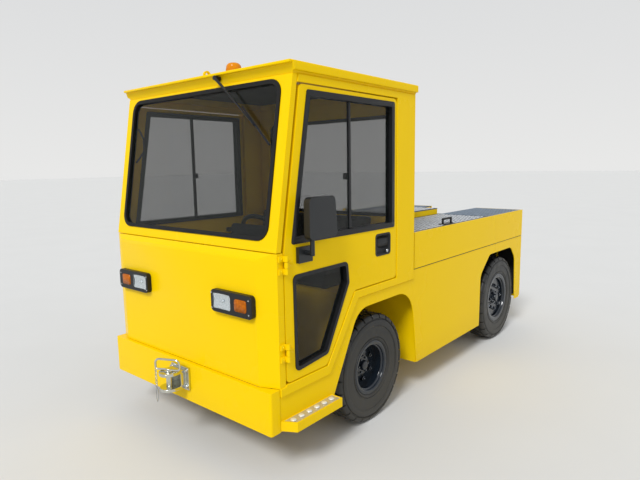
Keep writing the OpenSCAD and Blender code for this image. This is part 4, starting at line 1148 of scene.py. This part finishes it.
@dataclass
class Cab:
    """Fittings inside the cab and on its roof."""

    floor_z: float = 472.0
    wheel: tuple[float, float, float] = (280.0, -450.0, 1160.0)
    column_tilt: float = 52.0
    pod: tuple[float, float, float] = (425.0, -645.0, 1190.0)
    gauge_x: float = 62.0
    gauge: float = 42.0
    marks: int = 9
    lights: int = 5
    rockers: int = 6
    beacon_y: float = -430.0
    flutes: int = 36

    def build(self) -> None:
        """Makes linings, mat, gauges, switches, handles and the roof's fittings."""
        self._linings()
        self._gauges()
        self._column()
        self._handles()
        self._roof()

    def _linings(self) -> None:
        """Ribbed mat, front kick lining and headlining."""
        z = self.floor_z
        mat = Piece("ribbed_floor_mat", MATTING).block((-640, -815, z), (640, -475, z + 6), round_mm=2)
        rib = Shape().block((-630, -808, z + 6), (630, -802, z + 8), round_mm=0.8)
        mat.join(rib.repeat(mm(0, 14, 0), 23)).done()
        lining = Piece("felt_linings", MATTING, slot=Slot.PLASTIC)
        lining.block((-585, -824, 500), (585, -816, 936), round_mm=3)
        lining.block((-636, -585, 2052), (636, 390, 2060), round_mm=3).done()

    def _gauges(self) -> None:
        """Round gauges, warning lamps and rockers on the pod's rear face."""
        tilt = math.atan2(10, 160)
        out = mm(0, math.cos(tilt), math.sin(tilt))
        up = mm(0, -math.sin(tilt), math.cos(tilt))
        middle = at(*self.pod)
        bezel = Piece("gauge_bezels", BRIGHT_STEEL)
        dial = Piece("gauge_dials", ABS)
        marks = Piece("gauge_marks", DIAL_WHITE)
        lights = Piece("warning_lights", RED_LENS)
        for x in (-self.gauge_x, self.gauge_x):
            spot = middle + mm(x, 0, 0) + up * 14
            bezel.ring(spot + out * 3, out, self.gauge, 4.5, steps=40)
            dial.rod(spot, spot + out * 3, self.gauge - 1, sides=40)
            for k in range(self.marks):
                a = math.radians(215 - k * 31.25)
                way = mm(math.cos(a), 0, 0) + up * math.sin(a)
                marks.rod(spot + way * 30 + out * 3.4, spot + way * 37 + out * 3.4, 1.2, sides=6)
            needle = mm(-0.6, 0, 0) + up * 0.8
            marks.rod(spot + out * 4, spot + needle * 28 + out * 4, 1.4, 0.5, sides=6)
        for k in range(self.lights):
            seat = middle + mm((k - 2) * 32, 0, 0) - up * 48
            lights.rod(seat, seat + out * 4, 7, 5, sides=16)
        for piece in (bezel, dial, marks, lights):
            piece.done()
        rockers = Piece("rocker_switches", ABS)
        for k in range(self.rockers):
            rock = Matrix.Rotation(math.radians(6 if k % 2 else -6), 4, "X")
            rockers.block((-80 + k * 44, -642, 1052), (-50 + k * 44, -632, 1092), round_mm=3, turn=rock)
        rockers.done()

    def _column(self) -> None:
        """Indicator stalk, direction lever and horn button round the steering column."""
        tilt = math.radians(self.column_tilt)
        axis = mm(0, math.sin(tilt), math.cos(tilt))
        hub = at(*self.wheel)
        low = hub - axis * 95
        stalk = Piece("column_stalks", ABS).rod(low - axis * 30, low + axis * 30, 40, 36, sides=32)
        for sign in (1, -1):
            tip = low + mm(sign * 165, 0, 0) + axis * 20
            stalk.rod(low, tip, 5, sides=12)
            stalk.rod(tip - mm(sign * 45, 0, 0), tip, 8, 9, sides=16, round_mm=2)
        stalk.done()
        horn = Piece("horn_button", ABS, Body.STEERING_WHEEL)
        horn.rod(hub + axis * 7, hub + axis * 16, 30, 27, sides=32, round_mm=3, segments=3).done()

    def _handles(self) -> None:
        """Grab handles on the windscreen posts."""
        points = ((644, -688, 1826), (626, -684, 1800), (604, -680, 1760), (602, -684, 1690),
                  (624, -700, 1645), (644, -718, 1614))
        Piece("grab_handles", ABS).tube([at(*p) for p in points], 6, sides=12).mirror().done()

    def _roof(self) -> None:
        """The roof's drip lip, the beacon's clamp ring and the flutes round its dome."""
        Piece("roof_drip_lip", ENAMEL).block((-728, -726, ROOF_Z - 19), (728, -704, ROOF_Z - 5),
                                             round_mm=4).done()
        y = self.beacon_y
        Piece("beacon_clamp", ABS).ring(at(0, y, ROOF_Z + 24), UP, 48, 3.5, steps=48).done()
        flutes = Piece("beacon_flutes", BEACON_DOME, smooth_deg=50.0)
        flutes.rod(at(46.6, y, ROOF_Z + 29), at(45.2, y, ROOF_Z + 76), 2.0, 1.2, sides=6)
        flutes.turned(self.flutes, at(0, y, ROOF_Z), UP).done()


@dataclass
class Doors:
    """Small parts of both doors: hinge screws, lock, latches, mirror glass."""

    skin_x: float = 718.0
    hinge_zs: tuple[float, float] = (628.0, 1065.0)
    lock: tuple[float, float] = (118.0, 1058.0)

    def build(self) -> None:
        """Dresses both doors and the mirror."""
        for body, side in ((Body.DOOR_LEFT, Side.LEFT), (Body.DOOR_RIGHT, Side.RIGHT)):
            self._door(body, side.value)
        posts = Piece("post_hinge_screws", ENAMEL)
        for z in self.hinge_zs:
            for dz in (14, 76):
                self._screw(posts, (724, -808, z + dz), 1)
        posts.mirror().done()
        glass = Piece("mirror_glass", SILVERED, Body.DOOR_LEFT)
        glass.block((757.5, -672, 1236), (760, -492, 1412), round_mm=1).done()

    def _screw(self, piece: Piece, seat: Sequence[float], sign: int) -> None:
        """A domed screw head on a face that looks sideways.

        Args:
            piece: the piece to add to.
            seat: its place.
            sign: the way it looks along x.
        """
        spot = at(*seat)
        piece.rod(spot - mm(sign, 0, 0), spot + mm(sign * 3, 0, 0), 5.5, 4.0, sides=20, round_mm=0.8)

    def _door(self, body: Body, sign: int) -> None:
        """Screws, lock cylinder, window catch and latch of one door.

        Args:
            body: the door.
            sign: its side of the vehicle.
        """
        screws = Piece(body.value + "_screws", ENAMEL, body)
        for z in self.hinge_zs:
            for y in (-762, -742):
                self._screw(screws, (sign * (self.skin_x + 6), y, z + 45), sign)
        screws.done()
        lock = at(sign * (self.skin_x - 2), *self.lock)
        steel = Piece(body.value + "_lock", BRIGHT_STEEL, body)
        steel.rod(lock, lock + mm(sign * 6, 0, 0), 11, 10, sides=28, round_mm=1.5).done()
        catch = Piece(body.value + "_catches", ABS, body)
        for near, far, low, high, round_mm in ((27, 52, (-252, 1500), (-220, 1536), 4),
                                               (42, 74, (20, 1090), (150, 1120), 6)):
            x0, x1 = sorted((sign * (self.skin_x - near), sign * (self.skin_x - far)))
            catch.block((x0, *low), (x1, *high), round_mm=round_mm)
        catch.done()


@dataclass
class Deck:
    """Raised pattern of the tread plate, stiffeners and handle plate of the lid, domes of the steps."""

    pitch: float = 40.0
    bar: tuple[float, float, float] = (38.0, 12.0, 2.0)  # length, width, height
    bar_top: float = 0.4
    lid: tuple[float, float] = (478.0, 1705.0)  # front and rear edge
    lid_x: tuple[float, float] = (-638.0, 692.0)
    deck_x: float = 696.0
    rib_ys: tuple[float, ...] = (640.0, 1090.0, 1540.0)
    tunnel_x: float = 230.0
    tunnel_z: float = 1183.0
    notch_x: float = 250.0
    rear: tuple[float, float] = (1715.0, 2489.0)  # front and rear edge of the fixed plate
    edge: float = 4.0
    domes: int = 6
    dome: tuple[float, float, float] = (750.0, -780.0, 327.5)

    def build(self) -> None:
        """Makes the raised bars on lid, tunnel and deck, what the lid carries and the steps' domes."""
        front, back, t, e = self.lid[0] + self.edge, self.lid[1] - self.edge, self.tunnel_x, self.edge
        # The lid's bars are painted near white: a painted highlight.
        lid = Piece("lid_tread_bars", TREAD_LIT, Body.LID, 60.0)
        for x0, x1, z in ((t + e, self.lid_x[1], DECK_Z), (self.lid_x[0], -t - e, DECK_Z),
                          (e - t, t - e, self.tunnel_z)):
            self._field(lid, (x0, front), (x1, back), z)
        lid.done()
        ribs = Piece("lid_stiffeners", ENAMEL, Body.LID)
        for low, high in ((-600, -t - 20), (t + 20, 620)):
            for y in self.rib_ys:
                ribs.block((low, y - 15, DECK_Z - 24), (high, y + 15, DECK_Z - 7), round_mm=3)
        ribs.done()
        plate = Piece("handle_plate", ABS, Body.LID)
        plate.block((622, 955, DECK_Z - 0.5), (688, 1125, DECK_Z + 3), round_mm=1.2).done()
        # The deck's bars are painted darker than the lid's: painted shade.
        deck = Piece("deck_tread_bars", TREAD_SHADED, smooth_deg=60.0)
        for sign in (1, -1):
            x0, x1 = sorted((sign * (self.notch_x + 6), sign * self.deck_x))
            self._field(deck, (x0, self.rear[0]), (x1, self.rear[1] - e), DECK_Z)
        deck.done()
        # The domes take the same painted highlight as the lid's bars.
        domes = Piece("step_domes", TREAD_LIT, smooth_deg=60.0)
        x, y, z = self.dome
        for k in range(self.domes):
            spot = at(x, y + 60 * k, z)
            domes.rod(spot, spot + mm(0, 0, 8), 18, 13, sides=24, round_mm=5, segments=3)
        domes.mirror().done()

    def _field(self, piece: Piece, low: Sequence[float], high: Sequence[float], z: float) -> None:
        """Covers a rectangle with bars that alternate in direction.

        Args:
            piece: the piece to add to.
            low: front right corner as (x, y).
            high: rear left corner as (x, y).
            z: height of the plate.
        """
        p = self.pitch
        across, along = (int((b - a) / p) for a, b in zip(low, high))
        x0 = low[0] + (high[0] - low[0] - across * p) / 2
        y0 = low[1] + (high[1] - low[1] - along * p) / 2
        for kind in (0, 1):
            for row in (0, 1):
                shift = (kind + row) % 2
                bars = self._bar(at(x0 + p * (0.5 + shift), y0 + p * (0.5 + row), z), kind)
                bars.repeat(mm(2 * p, 0, 0), (across - shift + 1) // 2)
                piece.join(bars.repeat(mm(0, 2 * p, 0), (along - row + 1) // 2))

    def _bar(self, spot: Vector, kind: int) -> Shape:
        """One raised bar with tapered flanks and pointed ends.

        Args:
            spot: its middle on the plate.
            kind: 0 along one diagonal, 1 along the other.

        Returns:
            The bar.
        """
        length, width, height = self.bar
        made = Shape().rod(spot - mm(0, 0, 1), spot + mm(0, 0, height), 0.5 * length, self.bar_top * length,
                           sides=8)
        verts = made.bm.verts[:]
        bmesh.ops.scale(made.bm, vec=(1, width / length, 1), space=Matrix.Translation(-spot), verts=verts)
        bmesh.ops.rotate(made.bm, verts=verts, cent=spot,
                         matrix=Matrix.Rotation(math.radians(45 + 90 * kind), 3, "Z"))
        return made


@dataclass
class Battery:
    """Cell lids, plugs and links on top of the traction battery, seen when its lid is up."""

    across: int = 5
    along: int = 8
    cell: tuple[float, float] = (188.0, 118.0)  # across and along
    corner: tuple[float, float] = (-470.0, 548.0)
    top_z: float = 1040.0

    def build(self) -> None:
        """Makes the forty cells' lids with a plug each and the links that join them."""
        (dx, dy), (x, y), z = self.cell, self.corner, self.top_z
        lids = Piece("battery_cell_lids", CELL_LID)
        self._rows(lids.block((x + 4, y + 4, z - 1), (x + dx - 4, y + dy - 4, z + 9), round_mm=3), dy,
                   self.along)
        plugs = Piece("battery_plugs", CELL_PLUG)
        seat = at(x + dx / 2, y + dy / 2, z + 8)
        self._rows(plugs.rod(seat, seat + mm(0, 0, 10), 18, 16, sides=20, round_mm=2), dy, self.along)
        for name, side, first, count in (("near", 40.0, 1, self.along // 2),
                                         ("far", 148.0, 2, self.along // 2 - 1)):
            links = Piece("battery_links_" + name, ABS)
            y0 = y + first * dy
            links.block((x + side - 13, y0 - 38, z + 8), (x + side + 13, y0 + 38, z + 16), round_mm=4)
            self._rows(links, 2 * dy, count)

    def _rows(self, piece: Piece, step: float, count: int) -> None:
        """Repeats the piece's one shape over the battery and finishes it.

        Args:
            piece: the piece, with its first shape made.
            step: distance between shapes along the battery.
            count: how many lie along it.
        """
        piece.repeat(mm(self.cell[0], 0, 0), self.across).repeat(mm(0, step, 0), count).done()


@dataclass
class Rear:
    """Tail lamp ribs, panes and screws, hood seals, and black sheets that paint the shade in the rear wheel
    arches.
    """

    tail_x: float = 610.0
    tail_z: float = 760.0
    ribs: int = 11
    rib_pitch: float = 11.0

    def build(self) -> None:
        """Makes the tail lamps' small parts, the seals and the sheets of painted shade in the arches."""
        x, y, z = self.tail_x, REAR_Y + 26, self.tail_z
        ribs = Piece("tail_lamp_ribs", RED_LENS)
        for k in range(self.ribs):
            rib = x - 55 + k * self.rib_pitch
            ribs.block((rib - 2, y, z - 38), (rib + 2, y + 2.6, z + 38), round_mm=1)
        ribs.mirror().done()
        amber = Piece("tail_indicator_panes", AMBER_LENS)
        amber.block((x + 24, y, z - 40), (x + 65, y + 3.4, z + 40), round_mm=2).mirror().done()
        screws = Piece("tail_lamp_screws", BRIGHT_STEEL)
        for dx in (-73, 73):
            seat = at(x + dx, y - 3, z)
            screws.rod(seat, seat + mm(0, 4, 0), 4.5, 3.5, sides=16, round_mm=0.8)
        screws.mirror().done()
        seal = Piece("hood_seals", EPDM)
        seal.block((709, CAB_REAR + 18, 881.5), (712.6, REAR_Y - 18, 885.5)).mirror().done()
        # Black felt sheets at the back of the rear arches: painted shade where the arches lie in shadow.
        shade_sheet = Piece("rear_arch_shade_sheets", MATTING, slot=Slot.BLACK)
        shade_sheet.block((500, REAR_Y - 20, 300), (700, REAR_Y - 16.5, 820), round_mm=1).mirror().done()


@dataclass
class Seats:
    """Driver and passenger seats: foam pads under vinyl, puffed by a short cloth run."""

    centres: tuple[float, float] = (260.0, -300.0)
    width: float = 440.0
    base_z: float = 832.0
    front: float = -185.0
    back: float = 256.0
    lean: float = 8.6
    shrink: float = 5.0
    voxel: float = 8.0
    fill: float = 0.85
    pressure: float = 4.0
    frames: int = 20
    travel: float = 12.0
    cord: tuple[float, float] = (16.0, 926.0)  # corner radius and height

    def build(self) -> None:
        """Makes both cushions and backs in place of the plain pads."""
        half = self.width / 2 - self.shrink
        for name, x in zip(("driver", "passenger"), self.centres):
            low, high = (x - half, self.front, self.base_z + 1), (x + half, self.back, 938)
            cushion = self._pad(name + "_cushion", low, high, 0.0)
            back = self._pad(name + "_backrest", (x - half, 203, 950), (x + half, 290, 1258), self.lean)
            for pad in (cushion, back):
                self._puff(pad)
            self._piping(name, x, half)

    def _pad(self, name: str, low: Sequence[float], high: Sequence[float], lean: float) -> Obj:
        """One closed pad before it is puffed.

        Args:
            name: its name.
            low: lowest corner.
            high: highest corner.
            lean: backward lean in degrees about its lower edge.

        Returns:
            The object.
        """
        piece = Piece(name, VINYL, smooth_deg=60.0).block(low, high)
        bmesh.ops.rotate(piece.bm, verts=piece.bm.verts[:], cent=at(0, low[1], low[2]),
                         matrix=Matrix.Rotation(math.radians(-lean), 3, "X"))
        return piece.bevel(piece.bm.verts, 20, segments=4).done("seats")

    def _puff(self, pad: Obj) -> None:
        """Fills the pad by a pressure run, keeping each point close to its start.

        Args:
            pad: the pad's object.
        """
        remesh = pad.modifiers.new("skin", "REMESH")
        remesh.mode, remesh.voxel_size = "VOXEL", self.voxel * MM
        self._apply(pad)
        pad.data.shade_smooth()
        start = [v.co.copy() for v in pad.data.vertices]
        cloth = pad.modifiers.new("puff", "CLOTH")
        cloth.settings.use_pressure = True
        cloth.settings.uniform_pressure_force = self.pressure
        cloth.settings.effector_weights.gravity = 0.0
        cloth.settings.quality = 6
        cloth.point_cache.frame_start, cloth.point_cache.frame_end = 1, self.frames
        for number in range(1, self.frames + 1):
            bpy.context.scene.frame_set(number)
        self._apply(pad)
        bpy.context.scene.frame_set(1)
        for v, old in zip(pad.data.vertices, start):
            moved = v.co - old
            if moved.length > self.travel * MM:
                v.co = old + moved.normalized() * self.travel * MM

    def _apply(self, obj: Obj) -> None:
        """Freezes the object's modifiers into its mesh.

        Args:
            obj: the object.
        """
        shape = bpy.data.meshes.new_from_object(obj.evaluated_get(bpy.context.evaluated_depsgraph_get()))
        obj.modifiers.clear()
        obj.data = shape

    def _piping(self, name: str, x: float, half: float) -> None:
        """Seam cord round the top of the cushion.

        Args:
            name: whose seat.
            x: middle of the seat.
            half: half its width.
        """
        r, z = self.cord
        middle = (self.front + self.back) / 2
        corners = ((x + half, self.front), (x + half, self.back), (x - half, self.back),
                   (x - half, self.front))
        path: list[Vector] = []
        for k, (cx, cy) in enumerate(corners):
            mx, my = cx - math.copysign(r, cx - x), cy - math.copysign(r, cy - middle)
            for step in range(5):
                a = math.radians((k - 1) * 90 + step * 22.5)
                path.append(at(mx + (r + 2) * math.cos(a), my + (r + 2) * math.sin(a), z))
        Piece(name + "_piping", VINYL, smooth_deg=60.0).tube(path + [path[0]], 3.0, sides=8).done()


def main() -> None:
    """Builds the scene in order."""
    logging.basicConfig(level=logging.INFO, format="%(name)s: %(message)s")
    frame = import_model()
    Studio().build()
    SheetMetal().build(frame["nodes"])
    for group in (Tyres(), Hubs(), FrontEnd(), Cab(), Doors(), Deck(), Battery(), Rear(), Seats()):
        group.build()
    bpy.context.view_layer.update()


if __name__ == "__main__":
    main()
